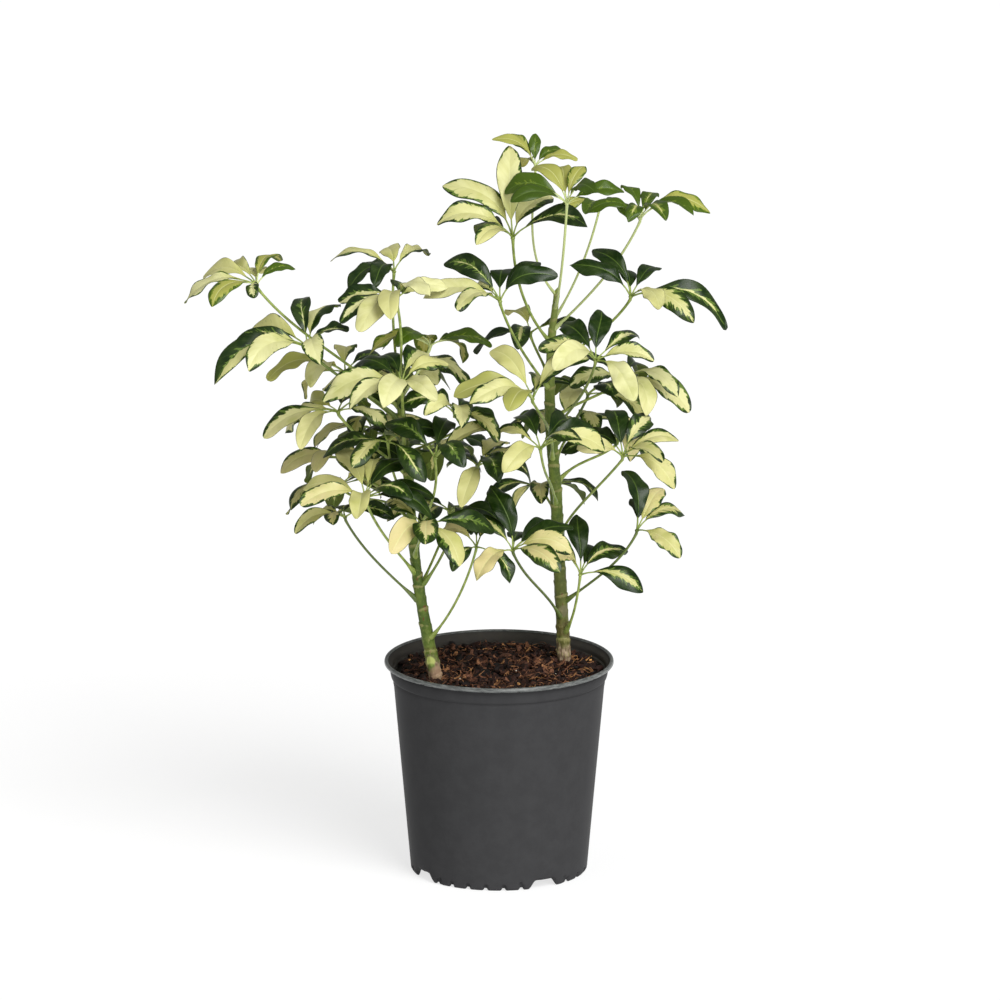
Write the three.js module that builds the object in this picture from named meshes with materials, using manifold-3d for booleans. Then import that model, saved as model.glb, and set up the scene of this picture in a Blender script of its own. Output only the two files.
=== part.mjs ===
// A potted variegated umbrella plant: a nursery pot, its potting bark, two stems and their leaves.
// Millimetres, +Z up. The origin is at the middle of the pot's base, on the surface it stands on,
// and the side that faces -Y is the front.
import * as THREE from 'three';
import { mergeVertices } from 'three/addons/utils/BufferGeometryUtils.js';
import Module from 'manifold-3d';

const wasm = await Module();
wasm.setup();

// The pot
const POT_HEIGHT = 222;
const POT_RIM_RADIUS = 117.5;
const POT_TOP_RADIUS = 111.7;
const POT_BASE_RADIUS = 90.2;
const POT_WALL = 2;
const POT_SIDES = 36;
const RIM_HEIGHT = 4.6;
const RIM_CORNER = 1;
const RIM_CORNER_RISE = 1.5;
const RIM_ROLL = 1.6;
const RIM_LIP = 0.9;
const SHOULDER_DEPTH = 3;
const BAND_HEIGHT = 14.5;
const BAND_STEP = 2;
const BAND_STEP_RISE = 2;
const FOOT_HEIGHT = 9;
const FOOT_WIDTH = 3;
const FOOT_TAPER = 0.5;
const FOOT_CORNER = 1.6;
const FOOT_CORNER_RISE = 2.5;
const FLOOR_THICKNESS = 2.5;
const BOSS_RADIUS = 24;
const BOSS_TAPER = 3;
const DRAIN_COUNT = 4;
const DRAIN_BEARING = -59;
const DRAIN_WIDTH = 35;
const DRAIN_RISE = 8.3;
const DRAIN_SHOULDER = 1;
const DRAIN_FOOT = 1;
const DRAIN_SINK = 5;
const DRAIN_CUT = 12;
const DRAIN_CUT_INSIDE = 7.2;
const DRAIN_HOLE_RADIUS = 5.5;
const DRAIN_HOLE_CIRCLE = 66;
const DRAIN_HOLE_SIDES = 8;

// The potting bark
const SOIL_DEPTH_BELOW_RIM = 12;
const SOIL_RINGS = 4;
const SOIL_RELIEF = 2.2;
const SOIL_BAND_SPARE = 0.6;
const SOIL_EDGE_SPARE = 1;
const SOIL_EDGE_DROP = 3;
const CLEARANCE = 0.35;
const MERGE_DISTANCE = 1e-4;

// The stems: points of each centre line with the radius there, from the root end to the tip
const STEM_SIDES = 12;
const STEM_RINGS = 17;
const NODE_RELIEF = 0.35;
const BUD_LENGTH = 7;
const STEM_SAMPLES = 200;
const STEMS = {
  left: [
    [-55, -37, 152, 7.3],
    [-64, -38, 208, 6.9],
    [-73, -38, 256, 6.2],
    [-84, -38, 325, 5.4],
    [-93, -38, 426, 4.8],
    [-101, -38, 510, 3.9],
    [-103, -37, 538, 2.9],
  ],
  right: [
    [69, 30, 152, 7.0],
    [67, 31, 208, 6.8],
    [63, 31, 290, 6.4],
    [58, 31, 392, 6.2],
    [52, 31, 480, 5.6],
    [54, 31, 556, 4.1],
    [60, 31, 606, 2.8],
  ],
};

// The leaves. Each has a hub where its leaflets meet, a height on its stem, a number of leaflets and
// their usual reach from hub to tip. A tip is given as it is seen from the front, from 15 degrees
// above: how far across and up it lies from the hub, and, where it isn't left to the reach, how far
// away. The leaflets with no tip given stand in the widest gaps between the others.
const SIGHT_PITCH = THREE.MathUtils.degToRad(15);
const YOUNG = 0x9db356;
const CREAM = 0xcfc98f;
const MIXED = 0xa3ad72;
const DARK = 0x5d7a48;
const LEAVES = [
  leaf('leaf_left_01', 'left', [-247, 15, 613], 499, 8, 78, MIXED,
    [[-76, -22, 5], [-56, 3, 45], [-30, 13, 62], [0, 20, 65], [25, 28, 50], [42, 17, 15],
      [-2, -16, -36], [-46, -25, -50]]),
  leaf('leaf_left_02', 'left', [-194, -55, 565], 488, 8, 85, MIXED,
    [[-67, 16, 48], [-83, -11, 12], [-99, -42, -22], [-63, -25, -58], [14, -19, -68], [44, 16, -30],
      [26, 46, 58], [3, 54, 46]]),
  leaf('leaf_left_03', 'left', [-107, 15, 627], 530, 6, 74, CREAM,
    [[-70, 12, 8], [-7, 23, 62], [38, 18, 45], [-50, -16, -45], [-20, -18, -66]]),
  leaf('leaf_left_04', 'left', [-104, -62, 618], 521, 7, 80, MIXED,
    [[-59, -10, 20], [-60, -27, -30], [-37, -38, -58], [-9, -24, -75], [54, 8, 5], [36, 0, -58]]),
  leaf('leaf_left_05', 'left', [-99, -100, 538], 463, 8, 86, CREAM,
    [[-82, -21, 0], [-56, -28, -45], [-18, -27, -75], [37, -16, -60], [49, 16, 35], [24, 40, 60],
      [-22, 35, 65], [-51, 19, 45]]),
  leaf('leaf_left_06', 'left', [-157, 20, 519], 478, 6, 80, CREAM,
    [[-82, -11, 0], [-38, -15, -62], [3, 22, 68], [46, 7, 50]]),
  leaf('leaf_left_07', 'left', [-164, -30, 491], 431, 7, 82, CREAM,
    [[-78, -30, 0], [-39, -42, -50], [-39, 3, 60], [48, -30, -35]]),
  leaf('leaf_left_08', 'left', [-157, 15, 428], 390, 7, 72, CREAM, [[-69, -15, 0], [-31, -15, -60]]),
  leaf('leaf_left_09', 'left', [-136, -110, 421], 327, 9, 78, MIXED,
    [[-68, -10, -25], [-66, 8, 30], [-28, 50, 50], [12, 46, 60], [60, 36, 30], [53, 0, -50],
      [-8, -23, -72], [70, -26, -10]]),
  leaf('leaf_left_10', 'left', [-157, -50, 385], 297, 6, 62, CREAM,
    [[-53, -19, 0], [-12, -9, -60], [52, -4, -15]]),
  leaf('leaf_left_11', 'left', [-77, -120, 394], 345, 6, 80, CREAM,
    [[-33, -31, -62], [3, -20, -78], [39, -43, -50], [-43, 20, 45], [6, 46, 60]]),
  leaf('leaf_left_12', 'left', [-113, -80, 472], 399, 5, 74, MIXED, [[-37, -29, -50], [-21, 17, 64]]),
  leaf('leaf_left_13', 'left', [-65, -105, 462], 368, 6, 80, MIXED,
    [[-49, 36, 35], [11, 46, 55], [58, 36, 20], [30, -10, -68]]),
  leaf('leaf_left_14', 'left', [-22, -60, 442], 314, 6, 72, MIXED,
    [[-29, 8, 60], [-18, -46, -50], [20, -15, -68], [48, 6, -40], [32, 23, 55]]),
  leaf('leaf_left_15', 'left', [-23, -85, 363], 258, 5, 58, DARK,
    [[-43, 15, 30], [-17, 31, 45], [8, 26, 52]]),
  leaf('leaf_left_16', 'left', [-70, -5, 554], 509, 6, 70, YOUNG, [[66, -2, 10], [-35, -5, -55]]),
  leaf('leaf_left_17', 'left', [-45, -72, 500], 450, 7, 62, DARK, [[5, -20, -58], [-30, 0, -50]]),
  leaf('leaf_left_18', 'left', [-50, 20, 372], 310, 7, 70, DARK, []),
  leaf('leaf_left_19', 'left', [-130, 85, 443], 441, 8, 80, MIXED, []),
  leaf('leaf_left_20', 'left', [-162, 80, 384], 378, 7, 74, DARK, []),
  leaf('leaf_left_21', 'left', [-70, 85, 424], 410, 7, 78, DARK, []),
  leaf('leaf_left_22', 'left', [-108, 78, 506], 472, 8, 80, MIXED, []),
  leaf('leaf_right_01', 'right', [37, 25, 735], 601, 6, 46, YOUNG,
    [[1, 34, 14], [-34, 32, 18], [-48, 25, -8], [30, 17, 25], [45, 5, -8]]),
  leaf('leaf_right_02', 'right', [69, -40, 712], 588, 7, 66, YOUNG,
    [[-68, 12, 16], [-60, 0, -30], [-39, 33, 34], [-8, 44, 34], [20, 40, 25], [61, 11, 0], [31, 8, -50]]),
  leaf('leaf_right_03', 'right', [14, -15, 670], 552, 7, 85, CREAM,
    [[-77, 52, 10], [-82, 17, -18], [-38, -8, -55], [-1, 99, 16], [83, 9, -7], [42, 45, 42]]),
  leaf('leaf_right_04', 'right', [144, 10, 684], 566, 7, 70, YOUNG,
    [[-58, 3, 5], [-14, -4, -55], [14, 31, 45], [-20, 30, 40], [74, 3, 12], [58, 4, -30], [28, -2, -60]]),
  leaf('leaf_right_05', 'right', [134, -30, 612], 522, 7, 80, MIXED,
    [[-66, 32, 5], [-42, 47, 35], [-10, 25, 60], [32, 30, 50], [30, -16, -62], [99, -39, 5], [66, -30, -42]]),
  leaf('leaf_right_06', 'right', [1, -45, 611], 503, 7, 78, MIXED,
    [[-81, 4, -10], [-61, 38, 25], [-45, -12, -58], [4, 34, 65], [62, 24, -5], [36, 37, 45]]),
  leaf('leaf_right_07', 'right', [98, -85, 559], 455, 7, 80, MIXED,
    [[-44, -14, -62], [-61, 10, -15], [-36, 38, 50], [6, 50, 50], [48, 28, 42], [62, -2, -5],
      [40, -45, -45]]),
  leaf('leaf_right_08', 'right', [34, -105, 524], 430, 6, 85, CREAM,
    [[-45, 49, 30], [-83, 0, 5], [-66, -4, -42], [-28, -17, -72], [60, 41, 25]]),
  leaf('leaf_right_09', 'right', [42, -115, 474], 381, 7, 78, DARK,
    [[-46, 18, 42], [-39, -26, -55], [-13, 33, 60], [36, 28, 50], [44, 7, -48], [71, -3, 5]]),
  leaf('leaf_right_10', 'right', [126, -65, 453], 350, 8, 72, MIXED,
    [[-40, 22, 40], [-48, 8, -20], [-14, 51, 44], [34, 44, 35], [62, 18, 5], [51, -5, -48], [50, -40, -22]]),
  leaf('leaf_right_11', 'right', [91, 45, 490], 443, 6, 72, DARK, [[-23, -18, -62], [28, 2, -60]]),
  leaf('leaf_right_12', 'right', [141, 0, 358], 278, 5, 72, DARK,
    [[-15, 64, 20], [12, 28, 62], [30, 44, 35], [48, 20, 40], [46, -30, -30]]),
  leaf('leaf_right_13', 'right', [83, 0, 311], 246, 6, 75, DARK,
    [[-14, 63, 20], [55, 18, 35], [67, -20, -5], [-36, 10, -45], [-44, 40, 10], [16, 24, 60]]),
  leaf('leaf_right_14', 'right', [14, -95, 362], 262, 8, 78, DARK,
    [[-39, -38, -42], [-25, 69, 20], [-42, 32, 20], [65, 18, 16], [62, -2, -22], [52, -26, -48]]),
  leaf('leaf_right_15', 'right', [124, 25, 512], 471, 6, 80, CREAM,
    [[72, -38, 5], [58, -26, -40], [30, -41, -55]]),
  leaf('leaf_right_16', 'right', [32, 75, 547], 513, 5, 72, DARK, [[-22, 18, 60]]),
  leaf('leaf_right_17', 'right', [103, 75, 681], 577, 7, 52, YOUNG, [[-16, -10, -45], [32, -17, -30]]),
  leaf('leaf_right_18', 'right', [47, 90, 377], 360, 5, 72, DARK, []),
  leaf('leaf_right_19', 'right', [78, 115, 441], 414, 7, 78, MIXED, []),
  leaf('leaf_right_20', 'right', [122, 95, 428], 402, 6, 70, MIXED, []),
];

// One leaflet: stations along its reach, and the share of its half width there
const STATIONS = [[0.17, 0.09], [0.37, 0.8], [0.63, 1], [0.88, 0.64]];
const BLADE_START = 0.2;
const HALF_WIDTH_SHARE = 0.178;
const ARCH = 0.205;
const ARCH_SPREAD = 0.05;
const FOLD = THREE.MathUtils.degToRad(20);
const BLADE_THICKNESS = 1.8;
const ROLL = THREE.MathUtils.degToRad(16);
const ROLL_FULL_AT = 0.4;
const LEAN_TO_FRONT = 0.55;
const SHORTEST_WIDTH_REACH = 0.6;
const FRONT_GAP_WEIGHT = 0.3;
const SHORTEST_FILLER = 0.88;
const FILLER_SPREAD = 0.16;
const FILLER_ROUNDS = 12;
const NARROWEST = 0.94;
const WIDTH_SPREAD = 0.12;
const DROOP = THREE.MathUtils.degToRad(15);
const SMALLEST_SPACING = THREE.MathUtils.degToRad(27);

// The hub and the leaf stalk. A leaf of less than the full reach has a smaller hub and stalk.
const FULL_REACH = 80;
const SMALLEST_SCALE = 0.62;
const HUB_RADIUS = 3.1;
const HUB_TOP = 1.2;
const HUB_BOTTOM = 1.6;
const HUB_TILT = 0.4;
const STALK_BASE_RADIUS = 2.3;
const STALK_RADIUS = 1.35;
const STALK_STEPS = 3;
const STALK_RISE = 0.9;
const STALK_SWELL = 0.18;
const STALK_LEAVING = 0.3;
const STALK_ARRIVING = 0.16;
const STALK_UNDER_HUB = 2;

// How the leaves are bent clear of each other
const SETTLE_ROUNDS = 90;
const SETTLE_MARGIN = 0.55;
const SETTLE_STEP = 3.2;
const HUB_SPACE_RADIUS = 15;
const HUB_SPACE_FOOT = 9;
const HUB_SPACE_RISE = 8;
const STALK_PROBE_START = 0.01;
const STALK_PROBE_END = 0.99;
const STALK_PROBE_SIDES = 6;
const HUB_PROBE_SIDES = 8;
const NEAREST_LEAFLET_SHARE = 0.25;
const LEAFLET_MIDDLE = 0.6;
const CURVE_SAMPLES = 40;
const STALK_HELD = 0.15;
const PIERCED = 0.55;
const NEARLY_PARALLEL = 0.1;
const SEAT_ROUNDS = 8;
const SEAT_TOLERANCE = 0.04;
const SEAT_STEP = 0.45;
const SEAT_EASE = 0.9;
const SEAT_LOOK = 8;
const WHOLE_LEAFLET = [[0.04, 0.09], ...STATIONS];

const UP = new THREE.Vector3(0, 0, 1);

function leaf(name, stem, hub, height, count, reach, colour, tips) {
  return { name, stem, hub: new THREE.Vector3(...hub), height, count, reach, colour, tips };
}

// A seeded draw between 0 and 1
function seededRandom(seed) {
  let state = seed;
  return () => {
    state = (state * 1664525 + 1013904223) % 4294967296;
    return state / 4294967296;
  };
}

// Geometry from a list of points and a list of triangles, turned so that its faces point out
function closedGeometry(points, triangles) {
  const positions = new Float32Array(points.flatMap((p) => [p.x, p.y, p.z]));
  let volume = 0;
  for (const [a, b, c] of triangles) {
    volume += points[a].dot(points[b].clone().cross(points[c]));
  }
  const facing = volume < 0 ? triangles.map(([a, b, c]) => [a, c, b]) : triangles;
  const geometry = new THREE.BufferGeometry();
  geometry.setAttribute('position', new THREE.BufferAttribute(positions, 3));
  geometry.setIndex(facing.flat());
  return geometry;
}

function toSolid(geometry) {
  const bare = geometry.clone();
  bare.deleteAttribute('normal');
  bare.deleteAttribute('uv');
  const merged = mergeVertices(bare, MERGE_DISTANCE);
  const mesh = new wasm.Mesh({
    numProp: 3,
    vertProperties: new Float32Array(merged.attributes.position.array),
    triVerts: new Uint32Array(merged.index.array),
  });
  return new wasm.Manifold(mesh);
}

function fromSolid(solid) {
  const mesh = solid.getMesh();
  const geometry = new THREE.BufferGeometry();
  geometry.setAttribute('position', new THREE.BufferAttribute(new Float32Array(mesh.vertProperties), 3));
  geometry.setIndex(new THREE.BufferAttribute(new Uint32Array(mesh.triVerts), 1));
  return geometry;
}

// A profile of [radius, z] points turned about the Z axis
function turned(profile, sides) {
  const points = profile.map(([radius, z]) => new THREE.Vector2(radius, z));
  const geometry = new THREE.LatheGeometry(points, sides);
  geometry.rotateX(Math.PI / 2);
  return geometry;
}

function wallRadius(z) {
  return THREE.MathUtils.lerp(POT_BASE_RADIUS, POT_TOP_RADIUS - BAND_STEP, z / (POT_HEIGHT - RIM_HEIGHT));
}

// The pot: a tapered wall with a stepped band under a rolled rim, a raised floor and a foot ring
function potSolid() {
  const bandFoot = POT_HEIGHT - RIM_HEIGHT - BAND_HEIGHT;
  const rimFoot = POT_HEIGHT - RIM_HEIGHT;
  const underFloor = FOOT_HEIGHT;
  const floor = FOOT_HEIGHT + FLOOR_THICKNESS;
  const footInside = POT_BASE_RADIUS - FOOT_WIDTH;
  const profile = [
    [0, 0],
    [BOSS_RADIUS, 0],
    [BOSS_RADIUS + BOSS_TAPER, underFloor],
    [footInside, underFloor],
    [footInside - FOOT_TAPER, 0],
    [POT_BASE_RADIUS - FOOT_CORNER, 0],
    [POT_BASE_RADIUS, FOOT_CORNER_RISE],
    [wallRadius(bandFoot), bandFoot],
    [wallRadius(bandFoot) + BAND_STEP, bandFoot + BAND_STEP_RISE],
    [POT_TOP_RADIUS, rimFoot],
    [POT_RIM_RADIUS - RIM_CORNER, rimFoot],
    [POT_RIM_RADIUS, rimFoot + RIM_CORNER_RISE],
    [POT_RIM_RADIUS - RIM_ROLL, POT_HEIGHT],
    [POT_TOP_RADIUS + RIM_LIP, POT_HEIGHT],
    [POT_TOP_RADIUS - POT_WALL, rimFoot - SHOULDER_DEPTH],
    [wallRadius(bandFoot) + BAND_STEP - POT_WALL, bandFoot + BAND_STEP_RISE],
    [wallRadius(bandFoot) - POT_WALL, bandFoot],
    [wallRadius(floor) - POT_WALL, floor],
    [0, floor],
  ];
  let pot = toSolid(turned(profile, POT_SIDES));
  for (let i = 0; i < DRAIN_COUNT; i += 1) {
    const bearing = THREE.MathUtils.degToRad(DRAIN_BEARING - 90 + (360 / DRAIN_COUNT) * i);
    pot = pot.subtract(toSolid(drainArch(bearing)));
    pot = pot.subtract(toSolid(drainHole(bearing + Math.PI / DRAIN_COUNT)));
  }
  return pot;
}

// The arch cut in the foot ring under a drain, as an outline pushed out through the ring
function drainArch(bearing) {
  const outline = new THREE.Shape();
  outline.moveTo(-DRAIN_WIDTH / 2, -DRAIN_SINK);
  outline.lineTo(-DRAIN_WIDTH / 2, DRAIN_FOOT);
  outline.lineTo(-DRAIN_WIDTH / 3, DRAIN_RISE - DRAIN_SHOULDER);
  outline.lineTo(-DRAIN_WIDTH / 6, DRAIN_RISE);
  outline.lineTo(DRAIN_WIDTH / 6, DRAIN_RISE);
  outline.lineTo(DRAIN_WIDTH / 3, DRAIN_RISE - DRAIN_SHOULDER);
  outline.lineTo(DRAIN_WIDTH / 2, DRAIN_FOOT);
  outline.lineTo(DRAIN_WIDTH / 2, -DRAIN_SINK);
  outline.closePath();
  const geometry = new THREE.ExtrudeGeometry(outline, { depth: DRAIN_CUT, steps: 1, bevelEnabled: false });
  geometry.rotateX(Math.PI / 2);
  geometry.rotateZ(Math.PI / 2);
  geometry.translate(POT_BASE_RADIUS - DRAIN_CUT_INSIDE, 0, 0);
  geometry.rotateZ(bearing);
  return geometry;
}

function drainHole(bearing) {
  const depth = 4 * (FLOOR_THICKNESS + CLEARANCE);
  const geometry = new THREE.CylinderGeometry(DRAIN_HOLE_RADIUS, DRAIN_HOLE_RADIUS, depth, DRAIN_HOLE_SIDES);
  geometry.rotateX(Math.PI / 2);
  geometry.translate(DRAIN_HOLE_CIRCLE, 0, FOOT_HEIGHT);
  geometry.rotateZ(bearing);
  return geometry;
}

// The potting bark: it fills the pot and is lumpy on top, with a plain hole round each stem
function soilSolid() {
  const random = seededRandom(7);
  const bottom = FOOT_HEIGHT + FLOOR_THICKNESS + CLEARANCE;
  const top = POT_HEIGHT - SOIL_DEPTH_BELOW_RIM;
  const bandFoot = POT_HEIGHT - RIM_HEIGHT - BAND_HEIGHT;
  const inset = POT_WALL + CLEARANCE / Math.cos(Math.PI / POT_SIDES);
  const sides = [
    [wallRadius(bottom) - inset, bottom],
    [wallRadius(bandFoot) - inset, bandFoot],
    [wallRadius(bandFoot) + BAND_STEP - inset - SOIL_BAND_SPARE, bandFoot + BAND_STEP_RISE],
    [POT_TOP_RADIUS - inset - SOIL_EDGE_SPARE, top - SOIL_EDGE_DROP],
  ];
  const points = [new THREE.Vector3(0, 0, bottom)];
  const triangles = [];
  const ring = (radius, z, relief) => {
    for (let k = 0; k < POT_SIDES; k += 1) {
      const angle = (k / POT_SIDES) * 2 * Math.PI;
      const lump = relief * (2 * random() - 1);
      points.push(new THREE.Vector3(radius * Math.sin(angle), -radius * Math.cos(angle), z + lump));
    }
  };
  sides.forEach(([radius, z]) => ring(radius, z, 0));
  const edge = sides[sides.length - 1][0];
  for (let i = 1; i <= SOIL_RINGS; i += 1) {
    ring(edge * (1 - i / (SOIL_RINGS + 1)), top, SOIL_RELIEF);
  }
  const rings = sides.length + SOIL_RINGS;
  for (let k = 0; k < POT_SIDES; k += 1) {
    const next = (k + 1) % POT_SIDES;
    triangles.push([0, 1 + next, 1 + k]);
    for (let i = 0; i < rings - 1; i += 1) {
      const low = 1 + i * POT_SIDES;
      const high = low + POT_SIDES;
      triangles.push([low + k, low + next, high + next], [low + k, high + next, high + k]);
    }
    const last = 1 + (rings - 1) * POT_SIDES;
    triangles.push([last + k, last + next, points.length]);
  }
  points.push(new THREE.Vector3(0, 0, top));
  let soil = toSolid(closedGeometry(points, triangles));
  for (const side of Object.keys(STEMS)) {
    soil = soil.subtract(toSolid(stemGeometry(side, CLEARANCE)));
  }
  return soil;
}

function stemCurve(side) {
  return new THREE.CatmullRomCurve3(STEMS[side].map(([x, y, z]) => new THREE.Vector3(x, y, z)));
}

function stemRadius(side, z) {
  const points = STEMS[side];
  for (let i = 1; i < points.length; i += 1) {
    if (z <= points[i][2]) {
      const share = (z - points[i - 1][2]) / (points[i][2] - points[i - 1][2]);
      return THREE.MathUtils.lerp(points[i - 1][3], points[i][3], Math.max(0, share));
    }
  }
  return points[points.length - 1][3];
}

// A stem: rings along its centre line, fuller at every other ring where old leaves stood, with a
// bud at the tip. The spare makes the same stem larger all round, for its hole and for testing.
function stemGeometry(side, spare) {
  const curve = stemCurve(side);
  const points = [];
  const triangles = [];
  for (let i = 0; i <= STEM_RINGS; i += 1) {
    const share = i / STEM_RINGS;
    const centre = curve.getPointAt(share);
    const along = curve.getTangentAt(share);
    const across = new THREE.Vector3(1, 0, 0).addScaledVector(along, -along.x).normalize();
    const deep = along.clone().cross(across);
    if (i === 0) {
      centre.addScaledVector(along, -spare);
    }
    const radius = stemRadius(side, centre.z) + (i % 2 ? NODE_RELIEF : 0) + spare;
    for (let k = 0; k < STEM_SIDES; k += 1) {
      const angle = (k / STEM_SIDES) * 2 * Math.PI;
      const out = across.clone().multiplyScalar(Math.cos(angle)).addScaledVector(deep, Math.sin(angle));
      points.push(centre.clone().addScaledVector(out, radius));
    }
  }
  const tip = curve.getPointAt(1).addScaledVector(curve.getTangentAt(1), BUD_LENGTH + spare);
  const root = curve.getPointAt(0).addScaledVector(curve.getTangentAt(0), -spare);
  const rootIndex = points.push(root) - 1;
  const tipIndex = points.push(tip) - 1;
  const last = STEM_RINGS * STEM_SIDES;
  for (let k = 0; k < STEM_SIDES; k += 1) {
    const next = (k + 1) % STEM_SIDES;
    for (let i = 0; i < STEM_RINGS; i += 1) {
      const low = i * STEM_SIDES;
      const high = low + STEM_SIDES;
      triangles.push([low + k, low + next, high + next], [low + k, high + next, high + k]);
    }
    triangles.push([rootIndex, next, k], [tipIndex, last + k, last + next]);
  }
  return closedGeometry(points, triangles);
}

// Where a leaf's stalk leaves its stem: the point on the centre line, and the way out from it
function stalkRoot(entry) {
  const curve = stemCurve(entry.stem);
  const samples = curve.getSpacedPoints(STEM_SAMPLES);
  const centre = samples.reduce((best, point) => (
    Math.abs(point.z - entry.height) < Math.abs(best.z - entry.height) ? point : best));
  const out = entry.hub.clone().sub(centre).setZ(0).normalize();
  return { centre, out };
}

// The frame of a leaf's hub: its axis, and two directions square to it
function hubFrame(entry) {
  const { centre } = stalkRoot(entry);
  const reach = entry.hub.clone().sub(centre).normalize();
  const axis = UP.clone().addScaledVector(reach, HUB_TILT).normalize();
  const first = new THREE.Vector3(1, 0, 0).addScaledVector(axis, -axis.x).normalize();
  return { axis, first, second: axis.clone().cross(first) };
}

function bearingOf(frame, vector) {
  return Math.atan2(vector.dot(frame.second), vector.dot(frame.first));
}

function turnBy(angle) {
  return THREE.MathUtils.euclideanModulo(angle + Math.PI, 2 * Math.PI) - Math.PI;
}

// A tip as seen from the front, turned into a vector from the hub
function seenTip([across, up, away]) {
  return new THREE.Vector3(
    across,
    up * Math.sin(SIGHT_PITCH) + away * Math.cos(SIGHT_PITCH),
    up * Math.cos(SIGHT_PITCH) - away * Math.sin(SIGHT_PITCH),
  );
}

// The roll that turns a leaflet's upper face towards the light at the front
function leanToFront(chord, frame) {
  const line = chord.clone().normalize();
  const lift = frame.axis.clone().addScaledVector(line, -frame.axis.dot(line)).normalize();
  return Math.atan(LEAN_TO_FRONT * -line.cross(lift).y);
}

// The vectors from hub to tip of all the leaflets of a leaf: those given, and others in the gaps,
// sooner in those away from the front where the front's leaflets are given
function leafletChords(entry, frame, random) {
  const chords = entry.tips.map((tip) => ({ vector: seenTip(tip), given: true }));
  const point = (bearing) => frame.first.clone().multiplyScalar(Math.cos(bearing) * Math.cos(DROOP))
    .addScaledVector(frame.second, Math.sin(bearing) * Math.cos(DROOP))
    .addScaledVector(frame.axis, -Math.sin(DROOP));
  const order = () => chords.sort((a, b) => bearingOf(frame, a.vector) - bearingOf(frame, b.vector));
  while (chords.length < entry.count) {
    order();
    let start = 2 * Math.PI * random();
    let widest = 2 * Math.PI;
    if (chords.length > 0) {
      let most = 0;
      chords.forEach((chord, k) => {
        const here = bearingOf(frame, chord.vector);
        const next = bearingOf(frame, chords[(k + 1) % chords.length].vector);
        const gap = THREE.MathUtils.euclideanModulo(next - here, 2 * Math.PI) || 2 * Math.PI;
        const known = entry.tips.length > 0 && point(here + gap / 2).y < 0;
        const weighed = gap * (known ? FRONT_GAP_WEIGHT : 1);
        if (weighed > most) {
          most = weighed;
          widest = gap;
          start = here;
        }
      });
    }
    const reach = entry.reach * (SHORTEST_FILLER + FILLER_SPREAD * random());
    chords.push({ vector: point(start + widest / 2).multiplyScalar(reach), given: false });
  }
  for (let round = 0; round < FILLER_ROUNDS; round += 1) {
    order();
    chords.forEach((chord, k) => {
      if (!chord.given) {
        const before = chords[(k + chords.length - 1) % chords.length].vector;
        const after = chords[(k + 1) % chords.length].vector;
        const here = bearingOf(frame, chord.vector);
        const ahead = THREE.MathUtils.euclideanModulo(bearingOf(frame, after) - here, 2 * Math.PI);
        const behind = THREE.MathUtils.euclideanModulo(here - bearingOf(frame, before), 2 * Math.PI);
        chord.vector.applyAxisAngle(frame.axis, (ahead - behind) / 3);
      }
    });
  }
  return chords.map((chord) => chord.vector);
}

// A leaflet's centre line at a share of its length: an arch over the line from hub to tip. Its blade
// is rolled about that line.
function leafletPoint(item, share) {
  const line = item.chord.clone().normalize();
  const lift = item.frame.axis.clone().addScaledVector(line, -item.frame.axis.dot(line)).normalize();
  const rise = item.chord.length() * item.arch;
  const point = item.hub.clone().addScaledVector(item.chord, share)
    .addScaledVector(lift, rise * 4 * share * (1 - share));
  const along = item.chord.clone().addScaledVector(lift, rise * 4 * (1 - 2 * share)).normalize();
  const roll = item.roll * Math.min(1, share / ROLL_FULL_AT);
  const side = line.clone().cross(lift).applyAxisAngle(along, roll);
  const normal = side.clone().cross(along);
  return { point, along, side, normal };
}

// The four corners of a leaflet's section at each station: top, right, bottom, left
function leafletSections(item, spare, stations) {
  return stations.map(([share, width]) => {
    const { point, side, normal } = leafletPoint(item, share);
    const half = item.half * width + spare;
    const thick = BLADE_THICKNESS / 2 + spare;
    const edgeUp = share < BLADE_START ? 0 : half * Math.sin(FOLD);
    const edgeOut = half * Math.cos(FOLD);
    return [
      point.clone().addScaledVector(normal, thick),
      point.clone().addScaledVector(side, edgeOut).addScaledVector(normal, edgeUp),
      point.clone().addScaledVector(normal, -thick),
      point.clone().addScaledVector(side, -edgeOut).addScaledVector(normal, edgeUp),
    ];
  });
}

// Triangles between two sections, with their diagonals from edge to midrib on both faces
function joinSections(triangles, low, high) {
  const [top, right, bottom, left] = [0, 1, 2, 3];
  triangles.push([low[top], low[right], high[top]], [low[right], high[right], high[top]]);
  triangles.push([low[right], low[bottom], high[bottom]], [low[right], high[bottom], high[right]]);
  triangles.push([low[bottom], low[left], high[bottom]], [low[left], high[left], high[bottom]]);
  triangles.push([low[left], low[top], high[top]], [low[left], high[top], high[left]]);
}

function joinTip(triangles, ring, tip) {
  ring.forEach((corner, k) => triangles.push([corner, ring[(k + 1) % 4], tip]));
}

// A leaf stalk's centre line, from its stem to its hub, with what bends it clear of others
function stalkCurve(entry) {
  const length = entry.start.distanceTo(entry.hub);
  const leaving = entry.out.clone().addScaledVector(UP, STALK_RISE).normalize();
  const arriving = entry.frame.axis;
  return new THREE.CubicBezierCurve3(
    entry.start,
    entry.start.clone().addScaledVector(leaving, STALK_LEAVING * length).add(entry.bow),
    entry.hub.clone().addScaledVector(arriving, -STALK_ARRIVING * length).add(entry.bow),
    entry.hub.clone().addScaledVector(arriving, -HUB_BOTTOM - STALK_UNDER_HUB),
  );
}

function stalkRadius(entry, share) {
  const swell = Math.max(0, 1 - share / STALK_SWELL);
  return entry.scale * (STALK_RADIUS + (STALK_BASE_RADIUS - STALK_RADIUS) * swell * swell);
}

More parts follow.
